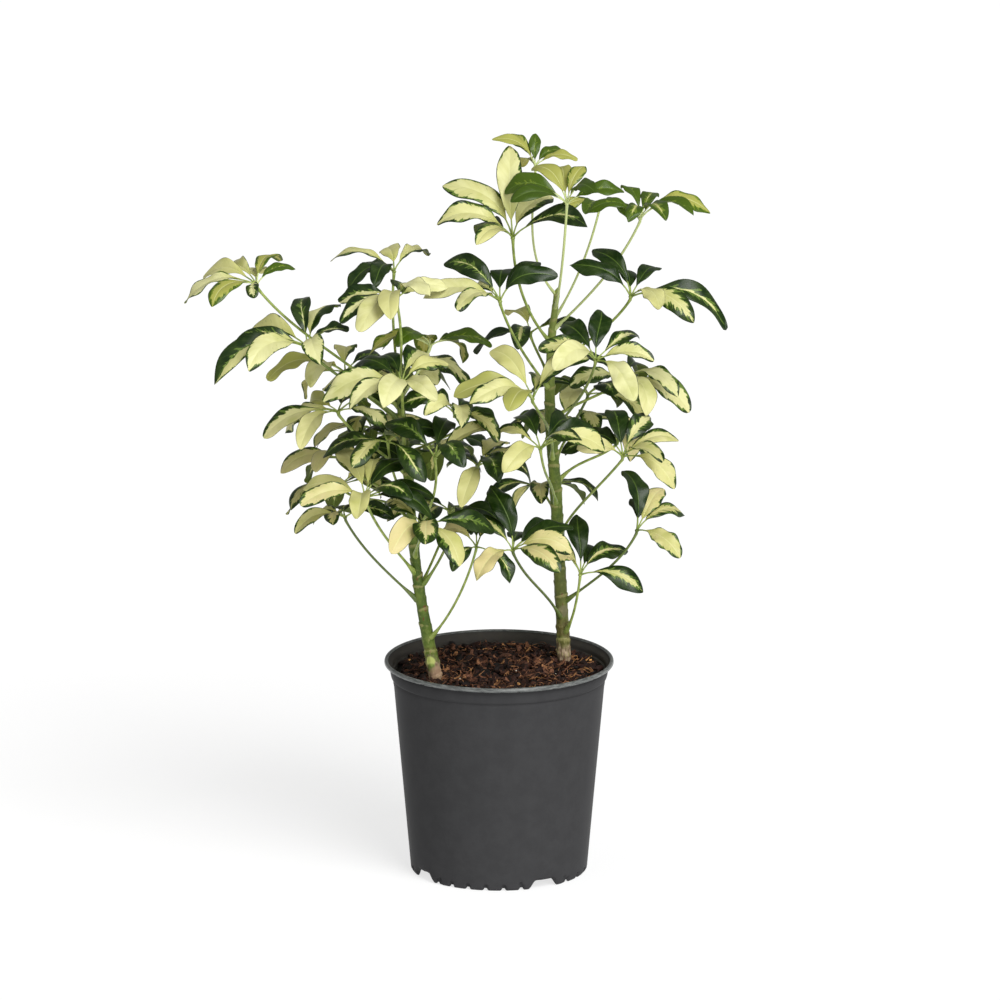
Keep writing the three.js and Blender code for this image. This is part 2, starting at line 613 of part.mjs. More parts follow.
// One whole leaf as a closed surface: stalk, hub and leaflets
function leafGeometry(entry) {
  const { frame, hub, scale } = entry;
  const items = [...entry.items].sort((a, b) => bearingOf(frame, a.chord) - bearingOf(frame, b.chord));
  const count = items.length;
  const bearings = items.map((item) => bearingOf(frame, item.chord));
  const corners = bearings.map((bearing, k) => {
    const before = bearings[(k + count - 1) % count];
    return bearing - THREE.MathUtils.euclideanModulo(bearing - before, 2 * Math.PI) / 2;
  });
  const points = [];
  const triangles = [];
  const add = (point) => points.push(point) - 1;
  const around = (angle, radius, rise) => hub.clone()
    .addScaledVector(frame.first, Math.cos(angle) * radius)
    .addScaledVector(frame.second, Math.sin(angle) * radius)
    .addScaledVector(frame.axis, rise);
  const apex = add(hub.clone().addScaledVector(frame.axis, HUB_TOP * 2 * scale));
  const top = corners.map((angle) => add(around(angle, HUB_RADIUS * scale, HUB_TOP * scale)));
  const bottom = corners.map((angle) => add(around(angle, HUB_RADIUS * scale, -HUB_BOTTOM * scale)));
  items.forEach((item, k) => {
    const next = (k + 1) % count;
    triangles.push([apex, top[k], top[next]]);
    let ring = [top[next], top[k], bottom[k], bottom[next]];
    leafletSections(item, 0, STATIONS).forEach((section, step) => {
      const corner = section.map(add);
      if (step === 0) {
        for (let side = 0; side < 4; side += 1) {
          const after = (side + 1) % 4;
          triangles.push([ring[side], ring[after], corner[side]], [ring[after], corner[after], corner[side]]);
        }
      } else {
        joinSections(triangles, ring, corner);
      }
      ring = corner;
    });
    joinTip(triangles, ring, add(hub.clone().add(item.chord)));
  });
  const curve = stalkCurve(entry);
  let first = frame.first.clone();
  let ring = bottom;
  const evenStart = corners[0];
  for (let step = 0; step <= STALK_STEPS; step += 1) {
    const share = 1 - step / STALK_STEPS;
    const centre = curve.getPointAt(share);
    const along = curve.getTangentAt(share);
    first = first.clone().addScaledVector(along, -first.dot(along)).normalize();
    const second = along.clone().cross(first);
    const radius = stalkRadius(entry, share);
    const next = corners.map((angle, k) => {
      const even = evenStart + (k / count) * 2 * Math.PI;
      const blended = angle + turnBy(even - angle) * Math.min(1, (step + 1) / 3);
      const point = centre.clone().addScaledVector(first, Math.cos(blended) * radius)
        .addScaledVector(second, Math.sin(blended) * radius);
      if (step === STALK_STEPS) {
        const behind = point.clone().sub(centre).dot(entry.out) / along.dot(entry.out);
        point.addScaledVector(along, -behind);
      }
      return add(point);
    });
    next.forEach((index, k) => {
      const after = (k + 1) % count;
      triangles.push([ring[k], index, next[after]], [ring[k], next[after], ring[after]]);
    });
    ring = next;
  }
  const foot = add(curve.getPointAt(0));
  ring.forEach((index, k) => triangles.push([foot, ring[(k + 1) % count], index]));
  return closedGeometry(points, triangles);
}

// A leaflet at the given stations, larger all round by the margin, to test what it meets
function leafletProbe(item, stations) {
  const points = [];
  const triangles = [];
  const add = (point) => points.push(point) - 1;
  const rings = leafletSections(item, SETTLE_MARGIN, stations).map((section) => section.map(add));
  const [first] = rings;
  triangles.push([first[3], first[1], first[0]], [first[1], first[3], first[2]]);
  rings.slice(1).forEach((ring, k) => joinSections(triangles, rings[k], ring));
  const reach = item.chord.length();
  const tip = item.hub.clone().addScaledVector(item.chord, (reach + SETTLE_MARGIN) / reach);
  joinTip(triangles, rings[rings.length - 1], add(tip));
  return toSolid(closedGeometry(points, triangles));
}

// A stalk alone between two shares of its length, larger all round by the margin
function stalkProbe(entry) {
  const curve = stalkCurve(entry);
  const sides = STALK_PROBE_SIDES;
  const steps = STALK_STEPS;
  const points = [];
  const triangles = [];
  let first = frameOf(curve.getTangentAt(STALK_PROBE_START));
  for (let step = 0; step <= steps; step += 1) {
    const share = THREE.MathUtils.lerp(STALK_PROBE_START, STALK_PROBE_END, step / steps);
    const along = curve.getTangentAt(share);
    first = first.clone().addScaledVector(along, -first.dot(along)).normalize();
    const second = along.clone().cross(first);
    for (let k = 0; k < sides; k += 1) {
      const angle = (k / sides) * 2 * Math.PI;
      const radius = stalkRadius(entry, share) + SETTLE_MARGIN;
      points.push(curve.getPointAt(share).addScaledVector(first, Math.cos(angle) * radius)
        .addScaledVector(second, Math.sin(angle) * radius));
    }
  }
  for (let k = 0; k < sides; k += 1) {
    const next = (k + 1) % sides;
    for (let step = 0; step < steps; step += 1) {
      const low = step * sides;
      const high = low + sides;
      triangles.push([low + k, low + next, high + next], [low + k, high + next, high + k]);
    }
    if (k > 0 && k < sides - 1) {
      const last = steps * sides;
      triangles.push([0, next, k], [last, last + k, last + next]);
    }
  }
  return toSolid(closedGeometry(points, triangles));
}

// The space round a hub where its leaflets start
function hubProbe(entry) {
  const { frame, hub, scale } = entry;
  const height = HUB_SPACE_RISE + HUB_BOTTOM + SETTLE_MARGIN;
  const [radius, foot] = [HUB_SPACE_RADIUS * scale, HUB_SPACE_FOOT * scale];
  const geometry = new THREE.CylinderGeometry(radius, foot, height * scale, HUB_PROBE_SIDES);
  geometry.translate(0, (height * scale) / 2 - (HUB_BOTTOM + SETTLE_MARGIN) * scale, 0);
  geometry.applyQuaternion(new THREE.Quaternion().setFromUnitVectors(new THREE.Vector3(0, 1, 0), frame.axis));
  geometry.translate(hub.x, hub.y, hub.z);
  return toSolid(geometry);
}

function frameOf(along) {
  const helper = Math.abs(along.x) < 0.8 ? new THREE.Vector3(1, 0, 0) : new THREE.Vector3(0, 1, 0);
  return helper.addScaledVector(along, -helper.dot(along)).normalize();
}

// The leaves in working form: frame, stalk start and leaflets
function growLeaves() {
  const random = seededRandom(23);
  return LEAVES.map((listed) => {
    const frame = hubFrame(listed);
    const { centre, out } = stalkRoot(listed);
    const start = centre.clone().addScaledVector(out, stemRadius(listed.stem, listed.height) + 1);
    const scale = THREE.MathUtils.clamp(listed.reach / FULL_REACH, SMALLEST_SCALE, 1);
    const entry = { ...listed, frame, out, start, scale, bow: new THREE.Vector3() };
    entry.items = leafletChords(listed, frame, random).map((chord) => ({
      kind: 'leaflet',
      entry,
      hub: listed.hub,
      frame,
      chord,
      arch: ARCH + ARCH_SPREAD * (2 * random() - 1),
      roll: leanToFront(chord, frame) + ROLL * (2 * random() - 1),
      half: THREE.MathUtils.clamp(chord.length(), SHORTEST_WIDTH_REACH * listed.reach, listed.reach)
        * HALF_WIDTH_SHARE * (NARROWEST + WIDTH_SPREAD * random()),
    }));
    return entry;
  });
}

// Leaflets of one hub that stand too close in bearing are turned apart about its axis
function spaceLeaflets(entry, moved) {
  const { frame } = entry;
  const items = [...entry.items].sort((a, b) => bearingOf(frame, a.chord) - bearingOf(frame, b.chord));
  items.forEach((item, k) => {
    const after = items[(k + 1) % items.length];
    const gap = THREE.MathUtils.euclideanModulo(
      bearingOf(frame, after.chord) - bearingOf(frame, item.chord), 2 * Math.PI);
    if (gap < SMALLEST_SPACING) {
      const turn = (SMALLEST_SPACING - gap) / 2;
      item.chord.applyAxisAngle(frame.axis, -turn);
      after.chord.applyAxisAngle(frame.axis, turn);
      moved.add(item).add(after);
    }
  });
}

// How a part lies near a point: the share along it, its own point and directions there
function lieOf(part, near) {
  if (part.kind === 'leaflet') {
    const line = part.chord.clone().normalize();
    const share = near.clone().sub(part.hub).dot(line) / part.chord.length();
    const held = THREE.MathUtils.clamp(share, NEAREST_LEAFLET_SHARE, 1);
    const middle = leafletPoint(part, LEAFLET_MIDDLE).point;
    return { share: held, middle, ...leafletPoint(part, held) };
  }
  if (part.kind === 'hub') {
    const { hub, frame } = part.entry;
    return { share: 0.5, point: hub, along: frame.axis };
  }
  const curve = part.kind === 'stalk' ? stalkCurve(part.entry) : stemCurve(part.side);
  let share = 0;
  for (let k = 1; k <= CURVE_SAMPLES; k += 1) {
    const tried = k / CURVE_SAMPLES;
    if (curve.getPointAt(tried).distanceTo(near) < curve.getPointAt(share).distanceTo(near)) {
      share = tried;
    }
  }
  const along = curve.getTangentAt(share);
  const held = THREE.MathUtils.clamp(share, STALK_HELD, 1 - STALK_HELD);
  return { share: held, point: curve.getPointAt(share), along };
}

// The way that takes the first part clear of the second
function wayApart(one, two, near) {
  const first = lieOf(one, near);
  const second = lieOf(two, near);
  const sign = (way, from, to) => way.clone().multiplyScalar(way.dot(from.clone().sub(to)) < 0 ? -1 : 1);
  if (one.kind === 'leaflet' && two.kind === 'leaflet') {
    const other = second.normal.clone().multiplyScalar(first.normal.dot(second.normal) < 0 ? -1 : 1);
    return sign(first.normal.clone().add(other).normalize(), first.middle, second.middle);
  }
  if (one.kind === 'leaflet') {
    const pierced = Math.abs(second.along.dot(first.normal)) > PIERCED;
    return pierced ? sign(first.side, first.point, second.point)
      : sign(first.normal, first.middle, second.point);
  }
  if (two.kind === 'leaflet') {
    return wayApart(two, one, near).multiplyScalar(-1);
  }
  const square = first.along.clone().cross(second.along);
  const between = first.point.clone().sub(second.point);
  const way = square.length() > NEARLY_PARALLEL ? square.normalize() : between.normalize();
  return sign(way, first.point, second.point);
}

function shift(part, way, amount, near) {
  if (part.kind === 'leaflet') {
    const { share } = lieOf(part, near);
    const reach = part.chord.length();
    part.chord.addScaledVector(way, amount / share).setLength(reach);
  } else if (part.kind === 'stalk') {
    part.entry.bow.addScaledVector(way, amount);
  }
}

// Whether a hub and a part of its own leaf, or a stalk and its own stem, meet by growth
function grownTogether(one, two) {
  const kinds = [one.kind, two.kind];
  if (kinds.includes('hub')) {
    return one.entry === two.entry || kinds.includes('stem');
  }
  return kinds.includes('stalk') && kinds.includes('stem')
    && (one.entry?.stem ?? one.side) === (two.entry?.stem ?? two.side);
}

// The leaves are bent until no leaflet or stalk meets another, a stem or the pot
function settleLeaves(entries) {
  const parts = entries.flatMap((entry) => [...entry.items, { kind: 'stalk', entry }]);
  const movable = parts.length;
  entries.forEach((entry) => parts.push({ kind: 'hub', entry }));
  Object.keys(STEMS).forEach((side) => parts.push({ kind: 'stem', side }));
  const refresh = (part) => {
    part.probe?.delete();
    part.blade?.delete();
    if (part.kind === 'leaflet') {
      part.probe = leafletProbe(part, WHOLE_LEAFLET);
      part.blade = leafletProbe(part, STATIONS);
    } else if (part.kind === 'stalk') {
      part.probe = stalkProbe(part.entry);
    } else if (part.kind === 'hub') {
      part.probe = hubProbe(part.entry);
    } else {
      part.probe = toSolid(stemGeometry(part.side, SETTLE_MARGIN));
    }
    const { min, max } = part.probe.boundingBox();
    part.box = new THREE.Box3(new THREE.Vector3(...min), new THREE.Vector3(...max));
  };
  parts.forEach(refresh);
  let moved = new Set(parts.slice(0, movable));
  let crossings = [];
  for (let round = 0; round < SETTLE_ROUNDS && moved.size > 0; round += 1) {
    crossings = crossings.filter(([one, two]) => !moved.has(one) && !moved.has(two));
    parts.forEach((one, i) => {
      parts.slice(i + 1).forEach((two) => {
        const known = !moved.has(one) && !moved.has(two);
        if (known || grownTogether(one, two) || !one.box.intersectsBox(two.box)) {
          return;
        }
        const sameLeaf = one.entry !== undefined && one.entry === two.entry;
        const solids = [one, two].map((part) => (sameLeaf && part.blade ? part.blade : part.probe));
        const shared = solids[0].intersect(solids[1]);
        if (!shared.isEmpty()) {
          const { min, max } = shared.boundingBox();
          const near = new THREE.Vector3(...min).add(new THREE.Vector3(...max)).multiplyScalar(0.5);
          crossings.push([one, two, near]);
        }
        shared.delete();
      });
    });
    moved = new Set();
    crossings.forEach(([one, two, near]) => {
      const way = wayApart(one, two, near);
      shift(one, way, SETTLE_STEP / 2, near);
      shift(two, way, -SETTLE_STEP / 2, near);
      [one, two].filter((part) => part.kind === 'leaflet' || part.kind === 'stalk')
        .forEach((part) => moved.add(part));
    });
    entries.forEach((entry) => spaceLeaflets(entry, moved));
    moved.forEach(refresh);
  }
  parts.forEach((part) => {
    part.probe.delete();
    part.blade?.delete();
  });
}

// A stalk's foot is drawn in or out until it lies the clearance from its stem
function seatStalk(entry, stem) {
  let geometry = leafGeometry(entry);
  for (let round = 0; round < SEAT_ROUNDS; round += 1) {
    const solid = toSolid(geometry);
    const gap = solid.minGap(stem, SEAT_LOOK);
    solid.delete();
    if (Math.abs(gap - CLEARANCE) < SEAT_TOLERANCE) {
      break;
    }
    entry.start.addScaledVector(entry.out, gap === 0 ? SEAT_STEP : -SEAT_EASE * (gap - CLEARANCE));
    geometry = leafGeometry(entry);
  }
  return geometry;
}

function named(name, geometry, colour, roughness) {
  const material = new THREE.MeshStandardMaterial({ color: colour, roughness, metalness: 0 });
  const mesh = new THREE.Mesh(geometry, material);
  mesh.name = name;
  return mesh;
}

const plant = new THREE.Group();
plant.add(named('pot', fromSolid(potSolid()), 0x474747, 0.55));
plant.add(named('soil', fromSolid(soilSolid()), 0x3a2415, 0.95));
const stemSolids = {};
Object.keys(STEMS).forEach((side) => {
  const geometry = stemGeometry(side, 0);
  stemSolids[side] = toSolid(geometry);
  plant.add(named(`stem_${side}`, geometry, 0x7c7a55, 0.8));
});
const leaves = growLeaves();
settleLeaves(leaves);
leaves.forEach((entry) => {
  const geometry = seatStalk(entry, stemSolids[entry.stem]);
  plant.add(named(entry.name, geometry, entry.colour, 0.45));
});

export default plant;
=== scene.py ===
"""The looks of a potted variegated umbrella plant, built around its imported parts. Metres, +Z up."""

import math
import random

import bmesh
import bpy
import numpy as np
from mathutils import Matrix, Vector


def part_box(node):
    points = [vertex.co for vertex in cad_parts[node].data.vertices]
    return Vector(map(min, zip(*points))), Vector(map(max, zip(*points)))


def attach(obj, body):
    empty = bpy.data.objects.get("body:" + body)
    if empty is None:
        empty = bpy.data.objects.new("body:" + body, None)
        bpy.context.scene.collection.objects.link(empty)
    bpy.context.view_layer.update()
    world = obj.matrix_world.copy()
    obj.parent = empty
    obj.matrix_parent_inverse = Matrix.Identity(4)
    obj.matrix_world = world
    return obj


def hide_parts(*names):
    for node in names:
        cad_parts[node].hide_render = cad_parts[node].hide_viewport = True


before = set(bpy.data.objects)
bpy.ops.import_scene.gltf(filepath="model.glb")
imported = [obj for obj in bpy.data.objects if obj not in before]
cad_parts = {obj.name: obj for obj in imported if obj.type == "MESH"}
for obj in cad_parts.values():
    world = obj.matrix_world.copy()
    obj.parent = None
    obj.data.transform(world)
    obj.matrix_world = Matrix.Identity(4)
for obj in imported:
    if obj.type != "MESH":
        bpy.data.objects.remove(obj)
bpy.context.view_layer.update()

MM = 0.001

# The view: a long lens that looks slightly down, as the photograph does
VIEW_ELEVATION = math.radians(14.8)
VIEW_DISTANCE = 20.0
VIEW_WIDTH = 1.0217
VIEW_TARGET = Vector((0.0010, 0.0, 0.3900))
SENSOR_WIDTH = 36.0

# The light: an even sky, and wide soft suns by name, the bearing they shine from in degrees from
# the camera's side round by +X, their elevation, their strength and how wide they are
SKY_STRENGTH = 0.28
SUNS = (
    ("key", 31, 47, 2.5, 34),
    ("fill", -50, 50, 0.14, 50),
    ("side", 26, 10, 1.25, 30),
)

# The floor is a lit table: a grey that takes the soft shadow, with a glow that keeps it white
FLOOR_TONE = (0.32, 0.32, 0.32, 1)
FLOOR_GLOW = 0.72

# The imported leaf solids, which this script reads back: the shares of a leaflet's length where its
# sections stand, and how far its halves are folded up
WELD = 0.02 * MM
STATIONS = (0.17, 0.37, 0.63, 0.88)
SOLID_FOLD = math.radians(20)
ROLL_FULL_AT = 0.4

# A leaflet's blade. Shares run along it from base to tip, and across it from midrib to margin. A
# pair is the least and the most that a leaflet may draw
BLADE_START = 0.155
BLADE_END = 0.965
BLADE_ROWS = 26
ACROSS = (0.0, 0.07, 0.22, 0.41, 0.6, 0.78, 0.92, 1.0)
BLADE_THICKNESS = 0.5 * MM
MARGIN_THICKNESS = 0.24 * MM
FULL_HALF_WIDTH = 16 * MM
WIDEST_AT = (0.52, 0.62)
BASE_POWER = 0.9
TIP_POWERS = (0.52, 0.86)
WIDTH_SHARES = (0.92, 1.03)
OUTLINE_RELIEF = 0.035
SIDE_BOW = 0.042
SIDE_SWAY = 0.018
TIP_CURL = 0.1
TWIST = 0.3
FOLD_AT_BASE = math.radians(23)
FOLD_AT_TIP = math.radians(7)
FOLD_SPREAD = (-0.1, 0.14)
CUPS = (0.0, 0.36)
RUFFLES = (0.06, 0.19)
RUFFLE_TURNS = (1.4, 3.0)
VEIN_SLANT = 0.19
VEIN_COUNT = 8
QUILT_RELIEF = 0.012
CREASE_DEPTH = 0.12 * MM
CREASE_WIDTH = 0.06

# Stalks, ribs and hubs, which share a leaf's third material
STALK_MATERIAL = 2
STALK_SIDES = 12
STALK_RINGS = 30
STALK_RADIUS = 1.45 * MM
STALK_FOOT_RADIUS = 3.1 * MM
STALK_FOOT_SHARE = 0.56
STALK_FOOT_LENGTH = 20 * MM
STALK_FOOT_DROP = 5 * MM
STALK_TOP_RADIUS = 1.85 * MM
STALK_TOP_LENGTH = 7 * MM
RIB_SIDES = 6
RIB_RINGS = 16
RIB_RADIUS = 0.85 * MM
RIB_SWELL_RADIUS = 1.25 * MM
RIB_TIP_RADIUS = 0.16 * MM
RIB_SUNK = 0.86
HUB_RADIUS = 2.5 * MM
HUB_DROP = 0.4 * MM
HUB_SIDES = 12
HUB_RINGS = 8

# The stems: each leaf scar is a ledge that leans round the stem, with a groove just above it, and
# the roughness is waves of a length and a depth
STEM_SIDES = 48
STEM_STEP = 1.1 * MM
STEM_SPARE = 0.25 * MM
STEM_TOP_LENGTH = 5 * MM
FIRST_NODE = 4 * MM
NODE_SPACING = 14.5 * MM
NODE_SWELL = 1.0 * MM
NODE_LEAN = 1.8 * MM
LEDGE_ABOVE = 0.9 * MM
LEDGE_BELOW = 3.4 * MM
GROOVE_DEPTH = 0.5 * MM
GROOVE_LIFT = 1.5 * MM
GROOVE_WIDTH = 0.6 * MM
GOLDEN_ANGLE = math.radians(137.5)
STEM_WAVES = ((4.0 * MM, 0.2 * MM), (1.8 * MM, 0.13 * MM))
WOODY_LENGTHS = (75 * MM, 120 * MM)
RELIEF_UNIT = 0.5 * MM

# Marks on the stems: the middle of each, how far it reaches, its colour and how full it is
STEM_MARKS = (
    ((-0.0710, -0.0450, 0.2320), 0.0056, (190, 200, 112), 0.85),
    ((-0.0700, -0.0450, 0.2245), 0.0046, (104, 132, 52), 0.7),
    ((-0.0620, -0.0430, 0.2180), 0.0085, (164, 134, 108), 0.8),
    ((0.0660, 0.0240, 0.2660), 0.0060, (120, 112, 90), 0.6),
)

# The potting bark: a bed with waves of a length and a height, and what lies on it. The bright
# chips' places are in millimetres
SOIL_RINGS = 60
SOIL_SIDES = 150
SOIL_SPARE = 0.05 * MM
SOIL_FOOT_SHARE = 0.7154
SOIL_WAVES = ((19 * MM, 1.4 * MM), (7 * MM, 0.9 * MM))
BED_DEPTH = 2.6 * MM
BED_LIMITS = (-3 * MM, 2.4 * MM)
EDGE_DROP = 3.5 * MM
CHIP_COUNT = 1350
CHIP_LENGTHS = (1.7 * MM, 8.9 * MM)
BRIGHT_CHIPS = ((-92, 30), (94, 30), (20, -62))
GRAIN_COUNT = 12
FIBRE_COUNT = 680
FIBRE_POINTS = 11
FIBRE_SIDES = 5
FLAKE_COUNT = 210
FLAKE_THICKNESS = 0.22 * MM

# The pot, in millimetres. A pair says where a form starts and ends to fade: notches and the dents
# over them in shares of their pitch, and arches in shares of their half width. Dents grow over the
# radii of the foot's edge
POT_SEGMENTS = 480
BASE_RADIUS = 90.2
WALL_TOP_RADIUS = 109.7
WALL_THICKNESS = 2
BAND_HEIGHT = 14.5
RIM_HEIGHT = 4.6
FLOOR_TOP = 11.5
FOOT_EDGE = (87.4, 89.8)
NOTCH_COUNT = 30
NOTCH_BEARING = math.radians(-99)
NOTCH_RISE = 2.4
NOTCH_FADE = (0.07, 0.15)
DENT_DEPTH = 2.3
DENT_FADE = (0.09, 0.16)
DENT_HEIGHTS = (4.1, 5.5)
ARCH_COUNT = 4
ARCH_BEARINGS = [math.radians(-149 + 360 / ARCH_COUNT * k) for k in range(ARCH_COUNT)]
ARCH_HALF = 17.5 / BASE_RADIUS
ARCH_RISE = 8.3
ARCH_FADE = (0.52, 1.02)
ARCH_CLEAR = (1.0, 1.35)
SLOT_OFFSET = math.radians(17)
SLOT_DEPTH = 2.2
SLOT_WIDTHS = (1.2, 1.9)
SLOT_HEIGHTS = (7.4, 8.6)
NICK_RISE = 0.7
NICK_LENGTH = 12
NICK_RING = 117.5
ROLLED_FROM = 113
RIM_UNDERSIDE_FROM = 115

# The pot's section, from under its floor round to the inside. The foot's points are a radius, a
# height, and how much they take of the rise of its notches and arches
FOOT_SECTION = (
    (0.5, 0.1, 0), (21.5, 0.1, 0), (23.2, 0.6, 0), (24.2, 2.0, 0), (26.4, 8.2, 0), (27.6, 9, 0),
    (60, 9, 0), (85.7, 9, 0), (86.9, 8.4, 0.12), (86.8, 4.0, 0.6), (86.9, 1.0, 1), (87.4, 0.2, 1),
    (88.2, 0.1, 1), (88.9, 0.5, 1), (89.8, 1.6, 1),
)
FOOT_HEIGHTS = (2.6, 3.4, 4.1, 5.5, 7.4, 8.3, 9.2, 12.0)
# Out from the wall at the band's foot, and up from there
BAND_SECTION = (
    (-0.1, -5.0), (-0.1, -2.2), (-0.4, -1.0), (-0.3, -0.2), (0.9, 0.35), (1.8, 1.2), (2.3, 2.6),
    (2.75, 4.8), (3.05, 7.2), (3.1, 9.4), (2.95, 11.0), (2.6, 12.0), (2.55, 12.9), (3.0, 14.0),
)
# Up from the rim's foot: at a radius, then at a way in from the rim's radius
RIM_UNDERSIDE = ((113.2, -0.05), (114.6, 0.1), (115.8, 0.02), (116.8, 0.4))
RIM_SIDE = ((0.12, 1.1), (0.02, 2.0), (0.2, 3.0), (0.55, 3.9))
# Down from the rim's top: at a way in from the rim's radius, then at a radius
RIM_TOP = ((1.1, 0.2), (1.9, 0), (2.7, 0.1))
INNER_SECTION = (
    (114.1, 0.6), (113.5, 1.5), (112.9, 2.7), (112.1, 3.9), (110.5, 5.6), (109.6, 6.8), (109.2, 8.2),
    (109.1, 10.6), (108.9, 11.2), (107.5, 11.7), (107.2, 12.4), (107.0, 14.5),
)

# Variegation by letter: how far cream reaches on the left and on the right half of a leaflet, as
# shares of the half width, how ragged its edge is, and how young the green is
PATTERNS = {
    "C": (1.3, 1.3, 0.10, 0.0),
    "c": (0.84, 0.84, 0.24, 0.0),
    "m": (0.46, 0.46, 0.42, 0.1),
    "e": (0.27, 0.27, 0.2, 0.0),
    "l": (0.98, -0.02, 0.18, 0.0),
    "r": (-0.02, 0.98, 0.18, 0.0),
    "L": (1.25, 0.5, 0.2, 0.0),
    "R": (0.5, 1.25, 0.2, 0.0),
    "d": (0.06, 0.06, 0.10, 0.0),
    "g": (-0.4, -0.4, 0.10, 0.0),
    "o": (1.3, 1.3, 0.15, 0.85),
    "y": (0.66, 0.66, 0.34, 1.0),
    "Y": (-0.2, -0.2, 0.3, 1.0),
}

# The letters of each leaf's leaflets, in order of bearing from the front round by +X, for the
# leaves of a stem in the order of their numbers
LEAF_LETTERS = {
    "left": "YyCcCcym cdldrmlc lCdRgg CCdleCC CLrggccC mdLcoC mddocLC eggcdLC dgggLCCcC dedmcm mLdgmC "
            "dggdm dcdggd dmdcdC dmgcd YmyyyY cmdgddc dgmdgmd mcdgdccm cdgdcmc mgddgmd cmddmccm",
    "right": "oYYoyo gYyooYg dLcdccL dYydYYd Cmdgggg gggmdCc CceggmC LmCoco ecgggLC ccReggdC dmggdc "
             "cmcdg edggmc mcggdgeC Cccggm ggogd YgdYgyY dgcdm mcdggmc cmdgdm",
}
YOUNG_LEAVES = {"left_16": 0.6, "right_01": 0.9, "right_02": 0.7, "right_04": 0.8, "right_17": 0.5}


# Small vector helpers on arrays of points

def unit(vectors):
    return vectors / np.linalg.norm(vectors, axis=-1, keepdims=True)


def ease(low, high, values):
    share = np.clip((np.asarray(values, float) - low) / (high - low), 0, 1)
    return share * share * (3 - 2 * share)


def even_angles(sides):
    return np.arange(sides) * 2 * math.pi / sides


def ring_of(radius, angles, z=0.0):
    """Points round the Z axis at a radius and a height, or at several of them."""
    return np.stack(np.broadcast_arrays(radius * np.cos(angles), radius * np.sin(angles), z), axis=-1)


def waves(points, scale, seed, count=7):
    """A smooth made-up relief, mostly between -1 and 1: a sum of waves in seeded directions."""
    draw = np.random.RandomState(seed)
    total = np.zeros(points.shape[:-1])
    for _ in range(count):
        way = unit(draw.normal(size=points.shape[-1]))
        total += np.sin(points @ way * (2 * math.pi / scale) * draw.uniform(0.6, 1.7) + draw.uniform(0, 7))
    return total / math.sqrt(count)


def roughness(points, sizes, seed):
    """Waves of several lengths, each with its own height."""
    return sum(waves(points, length, seed + k) * height for k, (length, height) in enumerate(sizes))


class Shell:
    """Closed surfaces collected for one mesh, with what its materials read at each point."""

    def __init__(self):
        self.points = []
        self.faces = []
        self.slots = []
        self.values = {}
        self.count = 0

    def add(self, points, faces, slot=0, **values):
        self.points.append(points)
        for name, value in values.items():
            self.values.setdefault(name, []).append(np.broadcast_to(value, (len(points), 3)))
        for face in faces:
            self.faces.append([corner + self.count for corner in face])
        self.slots.extend([slot] * len(faces) if isinstance(slot, int) else slot)
        self.count += len(points)

    def build(self, name, materials):
        mesh = bpy.data.meshes.new(name)
        mesh.from_pydata(np.concatenate(self.points).tolist(), [], self.faces)
        mesh.polygons.foreach_set("use_smooth", [True] * len(self.faces))
        mesh.polygons.foreach_set("material_index", self.slots)
        for key, value in self.values.items():
            attribute = mesh.attributes.new(key, "FLOAT_VECTOR", "POINT")
            attribute.data.foreach_set("vector", np.concatenate(value).astype(np.float32).ravel())
        for material in materials:
            mesh.materials.append(material)
        mesh.validate()
        mesh.update()
        piece = bpy.data.objects.new(name, mesh)
        bpy.context.scene.collection.objects.link(piece)
        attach(piece, "root")
        return piece


def tube(centres, radii, sides, first=(1.0, 0.0, 0.0)):
    """The points and faces of a closed round tube along the centres, from a first side on."""
    centres = np.asarray(centres, float)
    along = unit(np.gradient(centres, axis=0))
    across = np.empty_like(centres)
    guide = np.asarray(first, float)
    for k, way in enumerate(along):
        guide = guide - way * guide.dot(way)
        guide = guide / np.linalg.norm(guide)
        across[k] = guide
    deep = np.cross(along, across)
    angles = even_angles(sides)[:, None]
    out = across[:, None] * np.cos(angles) + deep[:, None] * np.sin(angles)
    radii = np.broadcast_to(np.asarray(radii, float).reshape(len(centres), -1), (len(centres), sides))
    rings = centres[:, None] + out * radii[..., None]
    points = np.concatenate([rings.reshape(-1, 3), centres[:1], centres[-1:]])
    return points, tube_faces(len(centres), sides)


def tube_faces(rings, sides):
    """A tube's faces, side by side: each side's run along the tube and end with one on each end."""
    faces = []
    foot, top = rings * sides, rings * sides + 1
    last = (rings - 1) * sides
    for k in range(sides):
        after = (k + 1) % sides
        for ring in range(rings - 1):
            low, high = ring * sides, (ring + 1) * sides
            faces.append((low + k, low + after, high + after, high + k))
        faces.append((foot, after, k))
        faces.append((top, last + k, last + after))
    return faces


# Material graphs

